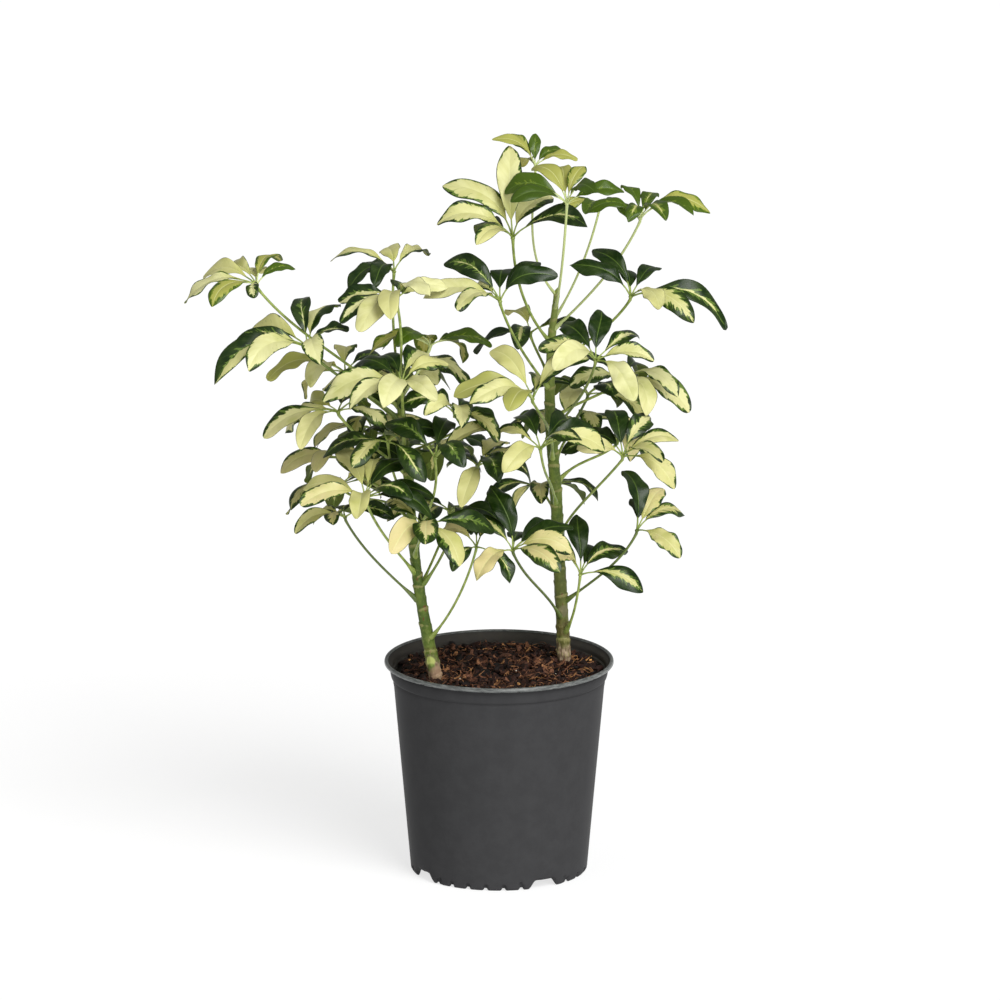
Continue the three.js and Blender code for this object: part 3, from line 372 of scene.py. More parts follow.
class Graph:
    """One material's nodes, with short calls for the usual ones."""

    def __init__(self, name):
        self.material = bpy.data.materials.new(name)
        self.material.use_nodes = True
        self.tree = self.material.node_tree
        self.shader = self.tree.nodes["Principled BSDF"]

    def put(self, socket, value):
        if isinstance(value, bpy.types.NodeSocket):
            self.tree.links.new(value, socket)
        elif value is not None:
            socket.default_value = value

    def node(self, kind, inputs=(), **settings):
        made = self.tree.nodes.new("ShaderNode" + kind)
        for key, value in settings.items():
            setattr(made, key, value)
        for key, value in dict(inputs).items():
            self.put(made.inputs[key], value)
        return made

    def math(self, operation, first, second=None):
        return self.node("Math", {0: first, 1: second}, operation=operation).outputs[0]

    def times(self, *values):
        return self.math("MULTIPLY", *values)

    def plus(self, *values):
        return self.math("ADD", *values)

    def minus(self, *values):
        return self.math("SUBTRACT", *values)

    def ramp(self, value, low, high, start=0.0, end=1.0):
        inputs = {"Value": value, "From Min": low, "From Max": high, "To Min": start, "To Max": end}
        return self.node("MapRange", inputs, interpolation_type="SMOOTHSTEP").outputs["Result"]

    def mix(self, share, first, second):
        """The second colour over the first by a share, through the node's colour sockets."""
        return self.node("Mix", {0: share, 6: first, 7: second}, data_type="RGBA").outputs[2]

    def parts(self, vector):
        return self.node("SeparateXYZ", {"Vector": vector}).outputs

    def noise(self, scale, detail=2.0, roughness=0.5, at=None):
        made = self.node("TexNoise", {"Vector": self.place() if at is None else at, "Scale": scale,
                                      "Detail": detail, "Roughness": roughness})
        return made.outputs["Fac"]

    def attribute(self, name):
        return self.parts(self.node("Attribute", attribute_name=name).outputs["Vector"])

    def place(self):
        return self.node("TexCoord").outputs["Object"]

    def stretched(self, by):
        made = self.node("VectorMath", {0: self.place(), 1: by}, operation="MULTIPLY")
        return made.outputs[0]

    def bump(self, height, strength, distance):
        made = self.node("Bump", {"Height": height, "Strength": strength, "Distance": distance})
        self.put(self.shader.inputs["Normal"], made.outputs[0])

    def finish(self, **inputs):
        for key, value in inputs.items():
            self.put(self.shader.inputs[key.replace("_", " ")], value)
        return self.material


def colour(red, green, blue):
    """A colour given as it shows on a screen, 0 to 255, turned into the shader's own scale."""
    linear = [(c / 255) ** 2.2 for c in (red, green, blue)]
    return (*linear, 1.0)


# The leaves' materials

CREAM_LIGHT = colour(211, 210, 154)
CREAM_DEEP = colour(190, 188, 122)
# The low leaves' cream: a warmer tone, and darker as painted shade
CREAM_LOW_SHADED = colour(197, 180, 126)
CREAM_WASH = colour(166, 170, 86)
CREAM_YOUNG = colour(156, 158, 78)
GREEN_DARK = colour(22, 42, 9)
GREEN_MID = colour(90, 112, 48)
GREEN_YOUNG = colour(68, 90, 22)
GREEN_YOUNG_MID = colour(108, 126, 42)
RIB_ON_GREEN = colour(92, 116, 50)
RIB_ON_CREAM = colour(204, 204, 142)
VEIN_PALE = colour(190, 198, 130)
# Underside colours: paler olive, partly the leaf's own underside and partly painted light that stands in for
# light shining through it
UNDER_CREAM = colour(190, 184, 100)
UNDER_GREEN = colour(96, 110, 40)
# Heights over which low leaves take the warmer, darker cream, whose darkening is painted shade
SHADED_LOW_LEAVES = (0.54, 0.38)


class LeafGraph(Graph):
    """The nodes of a leaflet's material, which know where a point lies on its blade."""

    def __init__(self, name):
        super().__init__(name)
        blade = self.attribute("blade")
        self.across, self.along = blade["X"], blade["Y"]
        self.off = self.math("ABSOLUTE", self.across)
        self.vein = self.minus(self.along, self.times(self.off, VEIN_SLANT))
        lot = self.attribute("lot")
        self.seed, self.youth, self.tint = lot["X"], lot["Y"], lot["Z"]
        half = self.times(self.math("SIGN", self.across), 3.7)
        self.shift = self.plus(self.times(self.seed, 9.1), half)

    def streaks(self, scale, detail, extra):
        """Noise that is drawn out along the side veins, and differs by leaflet and half."""
        lane = {"X": self.plus(self.vein, self.shift), "Y": self.times(self.off, 0.05),
                "Z": self.plus(self.seed, extra)}
        return self.noise(scale, detail, 0.6, self.node("CombineXYZ", lane).outputs[0])


def leaf_pattern(g):
    """How cream, how pale and how much of a green rim a point is. Cream reaches from the midrib to
    a ragged edge on each half and closes toward the tip, unless the whole leaflet is cream."""
    reach = g.attribute("reach")
    left, right, ragged = reach["X"], reach["Y"], reach["Z"]
    edge = g.times(g.minus(g.streaks(11, 3, 0), 0.5), g.times(ragged, 4.2))
    slow = g.times(g.minus(g.streaks(2.4, 1, 5), 0.5), g.times(ragged, 1.6))
    edge = g.plus(edge, slow)
    parted = g.minus(1, g.ramp(left, 1, 1.2))
    closing = g.times(g.times(g.ramp(g.along, 0.74, 1), 0.42), parted)
    inside_left = g.plus(g.across, g.minus(g.plus(left, edge), closing))
    inside_right = g.minus(g.minus(g.plus(right, edge), closing), g.across)
    inside = g.math("MINIMUM", inside_left, inside_right)
    band = g.times(g.ramp(g.streaks(17, 2, 11), 0.38, 0.68), 0.42)
    pale = g.ramp(g.plus(inside, band), -0.02, 0.03)
    rim = g.times(g.ramp(g.off, 0.93, 0.97), g.ramp(g.streaks(5, 1, 23), 0.34, 0.4))
    fleck = g.times(g.ramp(g.streaks(26, 2, 31), 0.66, 0.7), g.ramp(g.off, 0.1, 0.7))
    fleck = g.times(g.times(fleck, parted), 0.75)
    cream = g.times(g.ramp(inside, -0.012, 0.02), g.minus(1, fleck))
    return cream, pale, rim


def cream_tone(g):
    """Light cream, deeper by streaks, warmer on low leaves and darker there by painted shade, and
    washed green at the base and in patches."""
    depth = g.plus(g.times(g.streaks(7, 3, 41), 0.8), g.times(g.tint, 0.55))
    # Painted shade: the lower a leaf hangs, the warmer and darker its cream
    low = g.ramp(g.parts(g.place())["Z"], *SHADED_LOW_LEAVES)
    light = g.mix(g.times(low, 0.8), CREAM_LIGHT, CREAM_LOW_SHADED)
    tone = g.mix(g.ramp(depth, 0.3, 1), light, CREAM_DEEP)
    patches = g.times(g.ramp(g.noise(38, 3), 0.5, 0.72), 0.5)
    wash = g.math("MAXIMUM", g.times(g.ramp(g.along, 0.42, 0), 0.75), patches)
    return g.mix(g.youth, g.mix(wash, tone, CREAM_WASH), CREAM_YOUNG)


def leaf_material(name, underside):
    """Cream round the midrib, a paler green band, then green, with a rib and side veins."""
    g = LeafGraph(name)
    cream, pale, rim = leaf_pattern(g)
    mottle = g.noise(90, 3)
    green = g.mix(g.times(g.ramp(mottle, 0.3, 0.75), 0.18), GREEN_DARK, GREEN_MID)
    green = g.mix(g.youth, green, GREEN_YOUNG)
    skin = g.mix(pale, green, g.mix(g.youth, GREEN_MID, GREEN_YOUNG_MID))
    skin = g.mix(cream, skin, cream_tone(g))
    skin = g.mix(g.times(rim, 0.9), skin, green)
    # The paler underside is partly its own colour and partly painted light that shines through the leaf
    if underside:
        skin = g.mix(0.62, skin, g.mix(cream, UNDER_GREEN, UNDER_CREAM))
    rib = g.times(g.ramp(g.off, 0.075, 0.02), g.ramp(g.along, 1, 0.85))
    skin = g.mix(g.times(rib, 0.6), skin, g.mix(cream, RIB_ON_GREEN, RIB_ON_CREAM))
    side_vein = g.math("ABSOLUTE", g.math("SINE", g.times(g.vein, math.pi * VEIN_COUNT)))
    side_vein = g.ramp(side_vein, 0.16, 0)
    vein_share = g.times(side_vein, g.ramp(cream, 0, 1, 0.04, 0.14))
    skin = g.mix(vein_share, skin, g.mix(cream, VEIN_PALE, CREAM_WASH))
    relief = g.minus(g.times(mottle, 0.35), side_vein)
    g.bump(g.minus(relief, g.times(rib, 0.4)), 0.2, 0.3 * MM)
    if underside:
        polish, shine = g.ramp(mottle, 0.25, 0.8, 0.52, 0.64), 0.22
    else:
        polish, shine = g.plus(g.ramp(mottle, 0.25, 0.8, 0.28, 0.42), g.times(cream, 0.09)), 0.28
    return g.finish(Base_Color=skin, Roughness=polish, Specular_IOR_Level=shine)


def stalk_material():
    g = Graph("leaf_stalk")
    lot = g.attribute("lot")
    patch = g.noise(130, 3)
    green = g.mix(g.ramp(patch, 0.3, 0.7), colour(116, 136, 60), colour(156, 170, 90))
    green = g.mix(g.times(g.ramp(lot["Z"], 0.6, 1), 0.7), green, colour(60, 78, 36))
    skin = g.mix(g.ramp(lot["Y"], 0, 0.75), green, colour(190, 202, 134))
    g.bump(g.noise(420, 2), 0.2, 0.2 * MM)
    return g.finish(Base_Color=skin, Roughness=0.45, Specular_IOR_Level=0.4)


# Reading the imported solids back

def welded(node):
    """A node's solid with its doubled corners joined, for the caller to free."""
    solid = bmesh.new()
    solid.from_mesh(node.data)
    bmesh.ops.remove_doubles(solid, verts=solid.verts, dist=WELD)
    return solid


def linked(vertex):
    return {edge.other_vert(vertex) for edge in vertex.link_edges}


def middle_of(vertices):
    return np.mean([vertex.co[:] for vertex in vertices], axis=0)


def layers_from(first, vertices):
    """The vertices in layers, by how many edges they lie from the first one."""
    layers = [[first]]
    left = set(vertices) - {first}
    while left:
        below = {v for vertex in layers[-1] for v in linked(vertex)} & left
        layers.append(list(below))
        left -= below
    return layers


def read_stem(node):
    """The centre and mean radius of each ring of a stem's solid, from the root end to the tip."""
    solid = welded(node)
    layers = layers_from(max(solid.verts, key=lambda v: v.co.z), solid.verts)[::-1]
    centres = np.array([middle_of(layer) for layer in layers])
    radii = [np.mean([np.linalg.norm(np.array(v.co[:]) - centre) for v in layer])
             for layer, centre in zip(layers, centres)]
    solid.free()
    return centres, np.array(radii)


def read_leaf(node):
    """The hub, leaflets and stalk that a leaf's faceted solid was made from.

    A leaflet's solid is a tip, which alone has four neighbours of which two have four, and four
    sections of two midrib and two margin points, found one after the other back from the tip.
    What is left are the stalk and the hub, whose apex is the one point that meets no leaflet while
    all its neighbours do."""
    solid = welded(node)
    valence = {vertex: len(vertex.link_edges) for vertex in solid.verts}
    rest = set(solid.verts)
    leaflets = []
    for tip in solid.verts:
        around = linked(tip)
        margins = [vertex for vertex in around if valence[vertex] == 4]
        if valence[tip] != 4 or len(margins) != 2:
            continue
        middles = [vertex for vertex in around if vertex not in margins]
        sections = [(middles, margins)]
        seen = {tip, *middles, *margins}
        while len(sections) < len(STATIONS):
            margins = [v for v in linked(middles[0]) & linked(middles[1]) if v not in seen]
            seen.update(margins)
            middles = [v for v in linked(margins[0]) & linked(margins[1]) if v not in seen]
            seen.update(middles)
            sections.append((middles, margins))
        rest -= seen
        leaflets.append((tip, sections[::-1]))
    apex = next(v for v in rest if linked(v) <= rest and all(linked(n) - rest for n in linked(v)))
    leaf = leaf_measures(leaflets, layers_from(apex, rest))
    solid.free()
    return leaf


def leaf_measures(leaflets, layers):
    """The stalk's rings, the hub and its axis, and the leaflets in order of bearing: each a line
    from the hub, how it turns about that line, and half its width. The layers run from the hub's
    apex over its two rings and down the stalk's four."""
    shares = np.array([*STATIONS, 1.0])
    terms = np.stack([np.ones(len(shares)), shares, 4 * shares * (1 - shares)], axis=1)
    found = []
    for tip, sections in leaflets:
        points = np.array([*(middle_of(middles) for middles, _ in sections), tip.co[:]])
        hub, chord, rise = np.linalg.lstsq(terms, points, rcond=None)[0]
        one, two = (np.array(v.co[:]) for v in sections[2][1])
        found.append({"hub": hub, "chord": chord, "rise": rise, "wide": one - two})
    hub = np.mean([item["hub"] for item in found], axis=0)
    axis = unit(np.array(layers[0][0].co[:]) - hub)
    front = np.array((0.0, -1.0, 0.0))
    front = unit(front - axis * axis.dot(front))
    beside = np.cross(axis, front)
    for item in found:
        chord, rise, wide = item["chord"], item["rise"], item["wide"]
        flat = np.cross(unit(chord), unit(rise))
        along = unit(chord + 4 * rise * (1 - 2 * STATIONS[2]))
        side = unit(wide if wide.dot(flat) >= 0 else -wide)
        item["hub"] = hub
        item["flat"] = flat
        item["roll"] = math.atan2(side.dot(np.cross(along, flat)), side.dot(flat))
        item["half"] = np.linalg.norm(wide) / 2 / math.cos(SOLID_FOLD)
        item["bearing"] = math.atan2(chord.dot(beside), chord.dot(front)) % (2 * math.pi)
    found.sort(key=lambda item: item["bearing"])
    stalk = np.array([middle_of(layer) for layer in layers[3:7]])[::-1]
    return {"hub": hub, "axis": axis, "stalk": stalk, "leaflets": found}


# Building a leaf

def blade_grid():
    """A blade's rows, which crowd toward both ends, and its columns across the top and back under,
    with how they are lifted off the middle of its thickness."""
    steps = np.arange(1, BLADE_ROWS + 1)[:, None] / (BLADE_ROWS + 1)
    along = 0.35 * steps + 0.65 * (0.5 - 0.5 * np.cos(math.pi * steps))
    over = np.array([-a for a in ACROSS[:0:-1]] + list(ACROSS))
    inner = len(over) - 2
    return along, np.concatenate([over, over[-2:0:-1]]), np.repeat((0, 1, 0, -1), (1, inner, 1, inner))


BLADE_ALONG, BLADE_ACROSS, BLADE_LIFT = blade_grid()
BLADE_FACES = tube_faces(BLADE_ROWS, len(BLADE_ACROSS))
BLADE_MATERIALS = np.repeat((0, 1), len(BLADE_FACES) // 2).tolist()
BLADE_PLACES = np.concatenate([
    np.stack(np.broadcast_arrays(BLADE_ACROSS, BLADE_ALONG, 0), axis=-1).reshape(-1, 3),
    [(0, 0, 0), (0, 1, 0)],
])


def leaflet_line(item, shares):
    """The leaflet's centre line, and its directions to a side and up, at a column of shares of its
    length."""
    shares = np.asarray(shares, float)
    centre = item["hub"] + item["chord"] * shares + item["rise"] * 4 * shares * (1 - shares)
    along = unit(item["chord"] + item["rise"] * 4 * (1 - 2 * shares))
    turn = item["roll"] * np.minimum(1, shares / ROLL_FULL_AT)
    turn = turn + item["twist"] * np.maximum(0, shares - ROLL_FULL_AT)
    side = unit(item["flat"] * np.cos(turn) + np.cross(along, item["flat"]) * np.sin(turn))
    normal = np.cross(side, along)
    reach = np.linalg.norm(item["chord"])
    bent = item["bow"] * np.sin(math.pi * shares) + item["sway"] * np.sin(2 * math.pi * shares)
    curled = item["curl"] * np.maximum(0, shares - 0.6) ** 2 / 0.16
    centre = centre + side * bent * reach - normal * curled * reach
    return centre, side, normal


def blade_width(along, widest, tip_power):
    """The half width along a blade as a share of its widest: a wedge at the base, and a tip that is
    rounder the lower its power."""
    swung = along ** (math.log(0.5) / math.log(widest))
    return (4 * swung * (1 - swung)) ** (BASE_POWER + (tip_power - BASE_POWER) * swung)


def blade_points(item, draw):
    """The points of a blade's rows, folded, cupped, wavy and quilted, and its two ends."""
    along, across, off = BLADE_ALONG, BLADE_ACROSS, np.abs(BLADE_ACROSS)
    centre, side, normal = leaflet_line(item, BLADE_START + (BLADE_END - BLADE_START) * along)
    widths = blade_width(along, draw.uniform(*WIDEST_AT), draw.uniform(*TIP_POWERS))
    half = item["half"] * draw.uniform(*WIDTH_SHARES) * widths
    fold = FOLD_AT_BASE + (FOLD_AT_TIP - FOLD_AT_BASE) * along + draw.uniform(*FOLD_SPREAD)
    cup = draw.uniform(*CUPS)
    phase = draw.uniform(0, 2 * math.pi)
    ruffle = draw.uniform(*RUFFLES) * item["half"]
    wave = np.sin(2 * math.pi * draw.uniform(*RUFFLE_TURNS) * along + phase + 1.4 * np.sign(across))
    quilt = np.cos(2 * math.pi * VEIN_COUNT * (along - VEIN_SLANT * off))
    uneven = np.sin(draw.uniform(7, 11) * along + phase) * np.sign(across)
    uneven = uneven + np.sin(draw.uniform(14, 22) * along + 3 * phase) * 0.6
    out = half * np.cos(fold) * across * (1 + OUTLINE_RELIEF * (uneven - 1) * off)
    up = half * (np.sin(fold) * off - cup * off ** 2)
    up = up + ruffle * wave * off ** 2 * ease(0.0, 0.3, along)
    up = up + QUILT_RELIEF * half * quilt * off * (1 - off)
    up = up - CREASE_DEPTH * np.exp(-(off / CREASE_WIDTH) ** 2) * ease(1.0, 0.7, along)
    thick = MARGIN_THICKNESS + (BLADE_THICKNESS - MARGIN_THICKNESS) * (1 - off ** 2)
    up = up + BLADE_LIFT * thick / 2
    rows = centre[:, None] + side[:, None] * out[..., None] + normal[:, None] * up[..., None]
    ends = leaflet_line(item, [[BLADE_START], [BLADE_END]])[0]
    return np.concatenate([rows.reshape(-1, 3), ends])


def add_leaflet(shell, item, letter, draw, young):
    item["bow"] = draw.uniform(-SIDE_BOW, SIDE_BOW)
    item["sway"] = draw.uniform(-SIDE_SWAY, SIDE_SWAY)
    item["curl"] = TIP_CURL * draw.random() ** 2
    item["twist"] = draw.uniform(-TWIST, TWIST)
    points = blade_points(item, draw)
    left, right, ragged, youth = PATTERNS[letter]
    spread = draw.uniform(-0.1, 0.1)
    reach = (left + spread, right + spread, ragged)
    lot = (draw.uniform(0, 50), youth + (1 - youth) * young, draw.random())
    shell.add(points, BLADE_FACES, BLADE_MATERIALS, blade=BLADE_PLACES, reach=reach, lot=lot)
    add_rib(shell, item, (lot[0], lot[1], 0))


def add_tube(shell, lot, *shape):
    points, faces = tube(*shape)
    shell.add(points, faces, STALK_MATERIAL, blade=(0, 0, 0), reach=(0, 0, 0), lot=lot)


def add_rib(shell, item, lot):
    """The leaflet's own stalk, which runs on as the rib under its blade."""
    shares = np.linspace(0.015, 0.96, RIB_RINGS)[:, None] ** 1.15
    centre, side, normal = leaflet_line(item, shares)
    scale = item["half"] / FULL_HALF_WIDTH
    radius = RIB_RADIUS + (RIB_SWELL_RADIUS - RIB_RADIUS) * (1 - ease(0.0, 0.09, shares))
    radius = radius + (RIB_TIP_RADIUS - RIB_RADIUS) * ease(0.12, 0.8, shares)
    centre = centre - normal * ease(0.12, 0.2, shares) * (radius * RIB_SUNK)
    add_tube(shell, lot, centre, radius * (0.6 + 0.4 * scale), RIB_SIDES, side[0])


def add_stalk(shell, leaf, stem, scale, lot):
    """The leaf stalk: a smooth line through the solid's rings, from a flared foot whose root lies
    lower down in the middle of its stem."""
    cubic = np.linalg.solve(np.vander((0, 1 / 3, 2 / 3, 1), 4), leaf["stalk"])
    shares = np.linspace(0, 1, STALK_RINGS) ** 1.3
    line = np.vander(shares, 4) @ cubic
    length = np.linalg.norm(np.diff(line, axis=0), axis=1).sum()
    gone = shares * length
    lines, radii = stem
    ring = np.argmin(np.linalg.norm(lines - line[0], axis=1))
    root = lines[ring] + (0, 0, line[0][2] - lines[ring][2] - STALK_FOOT_DROP)
    half_way = (root + line[0]) / 2 - (0, 0, 0.1 * STALK_FOOT_DROP)
    thin = STALK_RADIUS * (0.6 + 0.4 * scale)
    foot = min(STALK_FOOT_RADIUS, STALK_FOOT_SHARE * radii[ring])
    radius = thin + (foot - thin) * (1 - ease(-0.3 * STALK_FOOT_LENGTH, STALK_FOOT_LENGTH, gone))
    swell = (STALK_TOP_RADIUS - STALK_RADIUS) * scale
    radius = radius + swell * ease(length - STALK_TOP_LENGTH, length, gone)
    centre = np.concatenate([[root, half_way], line, [leaf["hub"]]])
    radius = np.concatenate([[foot * 0.8, foot], radius, [HUB_RADIUS * 0.8 * scale]])
    add_tube(shell, lot, centre, radius, STALK_SIDES)
    add_hub(shell, lot, leaf, HUB_RADIUS * (0.5 + 0.5 * scale))


def add_hub(shell, lot, leaf, radius):
    """A slightly flattened ball, just under the point where the leaflets' lines meet."""
    axis = leaf["axis"]
    levels = np.linspace(-0.96, 0.96, HUB_RINGS) * math.pi / 2
    centres = leaf["hub"] + axis * (np.sin(levels) * radius * 0.8 - HUB_DROP)[:, None]
    first = (1.0, 0.0, 0.0) if abs(axis[0]) < 0.8 else (0.0, 1.0, 0.0)
    add_tube(shell, lot, centres, np.cos(levels) * radius, HUB_SIDES, first)


def build_leaf(label, stem, letters, materials):
    name = "leaf_" + label
    draw = random.Random(name)
    leaf = read_leaf(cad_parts[name])
    young = YOUNG_LEAVES.get(label, 0.0)
    shell = Shell()
    for item, letter in zip(leaf["leaflets"], letters, strict=True):
        add_leaflet(shell, item, letter, draw, young)
    scale = min(1.0, max(item["half"] for item in leaf["leaflets"]) / FULL_HALF_WIDTH)
    add_stalk(shell, leaf, stem, scale, (draw.uniform(0, 50), young, draw.random()))
    piece = shell.build(name + "_grown", materials)
    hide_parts(name)


def build_leaves():
    materials = [leaf_material("leaf_top", False), leaf_material("leaf_under", True), stalk_material()]
    for side, words in LEAF_LETTERS.items():
        stem = read_stem(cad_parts["stem_" + side])
        for number, letters in enumerate(words.split(), 1):
            build_leaf(f"{side}_{number:02d}", stem, letters, materials)


# The stems

def smooth_line(points, step):
    """Evenly spaced points, about a step apart, of a smooth line through the given ones."""
    lengths = np.concatenate([[0], np.cumsum(np.linalg.norm(np.diff(points[:, :3], axis=0), axis=1))])
    slopes = np.gradient(points, lengths, axis=0)
    spots = np.linspace(0, lengths[-1], int(lengths[-1] / step))
    index = np.clip(np.searchsorted(lengths, spots, side="right") - 1, 0, len(points) - 2)
    span = (lengths[index + 1] - lengths[index])[:, None]
    t = ((spots - lengths[index])[:, None]) / span
    first = (2 * t ** 3 - 3 * t ** 2 + 1) * points[index] + (t ** 3 - 2 * t ** 2 + t) * span * slopes[index]
    second = (3 * t ** 2 - 2 * t ** 3) * points[index + 1] + (t ** 3 - t ** 2) * span * slopes[index + 1]
    return first + second, spots


def stem_relief(spots, angles, seed):
    """How far the bark stands out at each spot up the stem and each angle round it."""
    relief = np.zeros((len(spots), len(angles)))
    draw = random.Random(seed)
    place, turn = FIRST_NODE, draw.uniform(0, 6)
    while place < spots[-1]:
        facing = np.cos(angles - turn)
        full = ease(-0.6, 0.9, facing)
        gap = spots[:, None] - place - NODE_LEAN * facing
        ledge = np.exp(-np.where(gap > 0, gap / LEDGE_ABOVE, gap / LEDGE_BELOW) ** 2)
        relief += NODE_SWELL * ledge * (0.42 + 0.58 * full)
        relief -= GROOVE_DEPTH * np.exp(-((gap - GROOVE_LIFT) / GROOVE_WIDTH) ** 2) * full
        place += NODE_SPACING * draw.uniform(0.75, 1.2)
        turn += GOLDEN_ANGLE
    spread = ring_of(0.008, angles, spots[:, None] * 0.35)
    woody = 1 - ease(*WOODY_LENGTHS, spots)[:, None]
    return relief + roughness(spread, STEM_WAVES, seed) * (0.5 + 1.6 * woody)


def build_stem(name, seed, material):
    centres, radii = read_stem(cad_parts[name])
    line, spots = smooth_line(np.column_stack([centres[1:-1], radii[1:-1]]), STEM_STEP)
    angles = even_angles(STEM_SIDES)
    relief = stem_relief(spots, angles, seed)
    radius = line[:, 3:] - STEM_SPARE
    radius = radius + relief * np.clip(radius / radius.max(), 0.3, 1)
    closing = ease(spots[-1] + 0.1 * MM, spots[-1] - STEM_TOP_LENGTH, spots)[:, None]
    points, faces = tube(line[:, :3], radius * np.sqrt(np.clip(closing, 0.02, 1)), STEM_SIDES)
    shell = Shell()
    shell.add(points, faces, relief=np.append(relief / RELIEF_UNIT, (0, 0))[:, None])
    piece = shell.build(name + "_grown", [material])
    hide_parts(name)


def stem_material():
    """Green, paler toward the top partly by painted light, with paler scars, painted shade in the
    grooves, brown ticks low down, and grey bark just above the potting bark.
    """
    g = Graph("stem_bark")
    place = g.place()
    height = g.parts(place)["Z"]
    patch = g.noise(34, 4, 0.62)
    fine = g.noise(260, 3)
    green = g.mix(g.ramp(patch, 0.35, 0.65), colour(70, 90, 32), colour(112, 130, 54))
    green = g.mix(g.times(g.ramp(fine, 0.5, 0.75), 0.3), green, colour(148, 150, 84))
    duller = g.times(g.ramp(g.parts(place)["X"], 0, 0.02), g.ramp(height, 0.37, 0.27, 0.05, 0.45))
    green = g.mix(duller, green, colour(104, 96, 60))
    # Paler toward the top: partly the younger stem's own green, partly painted light that lifts its shade
    green = g.mix(g.ramp(height, 0.46, 0.56, 0, 0.6), green, colour(142, 154, 82))
    low = g.ramp(height, 0.40, 0.27)
    green = g.mix(g.times(low, g.ramp(patch, 0.5, 0.62, 0, 0.6)), green, colour(84, 66, 42))
    tick = g.ramp(g.noise(190, 1, at=g.stretched((1, 1, 0.45))), 0.66, 0.7)
    green = g.mix(g.times(tick, g.times(low, 0.75)), green, colour(104, 54, 36))
    bark = g.mix(g.ramp(fine, 0.3, 0.7), colour(116, 96, 74), colour(172, 152, 126))
    old = g.ramp(g.plus(height, g.times(g.minus(patch, 0.5), 0.09)), 0.24, 0.222)
    skin = g.mix(old, green, bark)
    relief = g.attribute("relief")["X"]
    skin = g.mix(g.times(g.ramp(relief, 0.75, 1.5), 0.55), skin, colour(158, 152, 98))
    # Darker in the grooves above the leaf scars: painted shade
    skin = g.mix(g.times(g.ramp(relief, -0.45, -1.1), 0.55), skin, colour(56, 50, 30))
    ragged = g.times(g.minus(g.noise(70, 1), 0.5), 0.006)
    for spot, size, tone, share in STEM_MARKS:
        away = g.node("VectorMath", {0: place, 1: spot}, operation="DISTANCE").outputs["Value"]
        skin = g.mix(g.ramp(g.plus(away, ragged), size * 1.15, size * 0.75, 0, share), skin, colour(*tone))
    g.bump(fine, 0.35, 0.3 * MM)
    return g.finish(Base_Color=skin, Roughness=0.6, Specular_IOR_Level=0.3)


# The potting bark

def build_soil():
    low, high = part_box("soil")
    radius = high.x - SOIL_SPARE
    top = high.z - BED_DEPTH
    angles = even_angles(SOIL_SIDES)
    rings = [ring_of(SOIL_FOOT_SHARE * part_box("pot")[1].x, angles, low.z),
             ring_of(radius - 4 * MM, angles, top - 25 * MM),
             ring_of(radius - 1.4 * MM, angles, top - 6 * MM)]
    for k in range(SOIL_RINGS):
        share = 1 - k / SOIL_RINGS
        ring = ring_of(radius * share, angles)
        lump = np.clip(roughness(ring, SOIL_WAVES, 3), *BED_LIMITS)
        ring[:, 2] = top + lump - EDGE_DROP * ease(0.86, 1.0, share)
        rings.append(ring)
    points = np.concatenate([*rings, [(0, 0, low.z), (0, 0, top)]])
    shell = Shell()
    shell.add(points, tube_faces(len(rings), SOIL_SIDES), lot=(0.15, 0.0, 0.0))
    material = soil_material()
    piece = shell.build("soil_bed", [material])
    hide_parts("soil")
    build_chips(radius, top, material)
    build_fibres(radius, top, material)


def scatter(draw, radius, margin):
    """A place at random, at least the margin inside the radius."""
    reach = (radius - margin) * math.sqrt(draw.random())
    bearing = draw.uniform(0, 2 * math.pi)
    return reach * math.cos(bearing), reach * math.sin(bearing)


def turned_frame(draw, tilt):
    """Three square directions: a heading at random, leaned and rocked by about the tilt."""
    heading = draw.uniform(0, 2 * math.pi)
    lean = draw.gauss(0, tilt)
    first = np.array((math.cos(heading) * math.cos(lean), math.sin(heading) * math.cos(lean), math.sin(lean)))
    rock = draw.gauss(0, tilt)
    level = unit(np.cross((0.0, 0.0, 1.0), first))
    upright = np.cross(first, level)
    return np.stack([first, level * math.cos(rock) + upright * math.sin(rock),
                     upright * math.cos(rock) - level * math.sin(rock)])


def chip_shape(draw, sides=7):
    """A rough flat chip: a jagged outline, fuller at mid height."""
    shifts = np.array([draw.uniform(-0.3, 0.3) for _ in range(sides)])
    angles = (np.arange(sides) + shifts) * 2 * math.pi / sides
    reach = np.array([draw.uniform(0.7, 1.12) for _ in range(sides)])
    outline = ring_of(reach, angles)[:, :2]
    layers = []
    for size, level in ((0.72, -1.0), (1.0, -0.15), (0.82, 0.85)):
        levels = np.array([level + draw.uniform(-0.3, 0.3) for _ in range(sides)])
        layers.append(np.column_stack([outline * size, levels]))
    ends = [(0, 0, -1.0), (draw.uniform(-0.2, 0.2), draw.uniform(-0.2, 0.2), draw.uniform(0.7, 1.2))]
    return np.concatenate([*layers, ends]), tube_faces(3, sides)


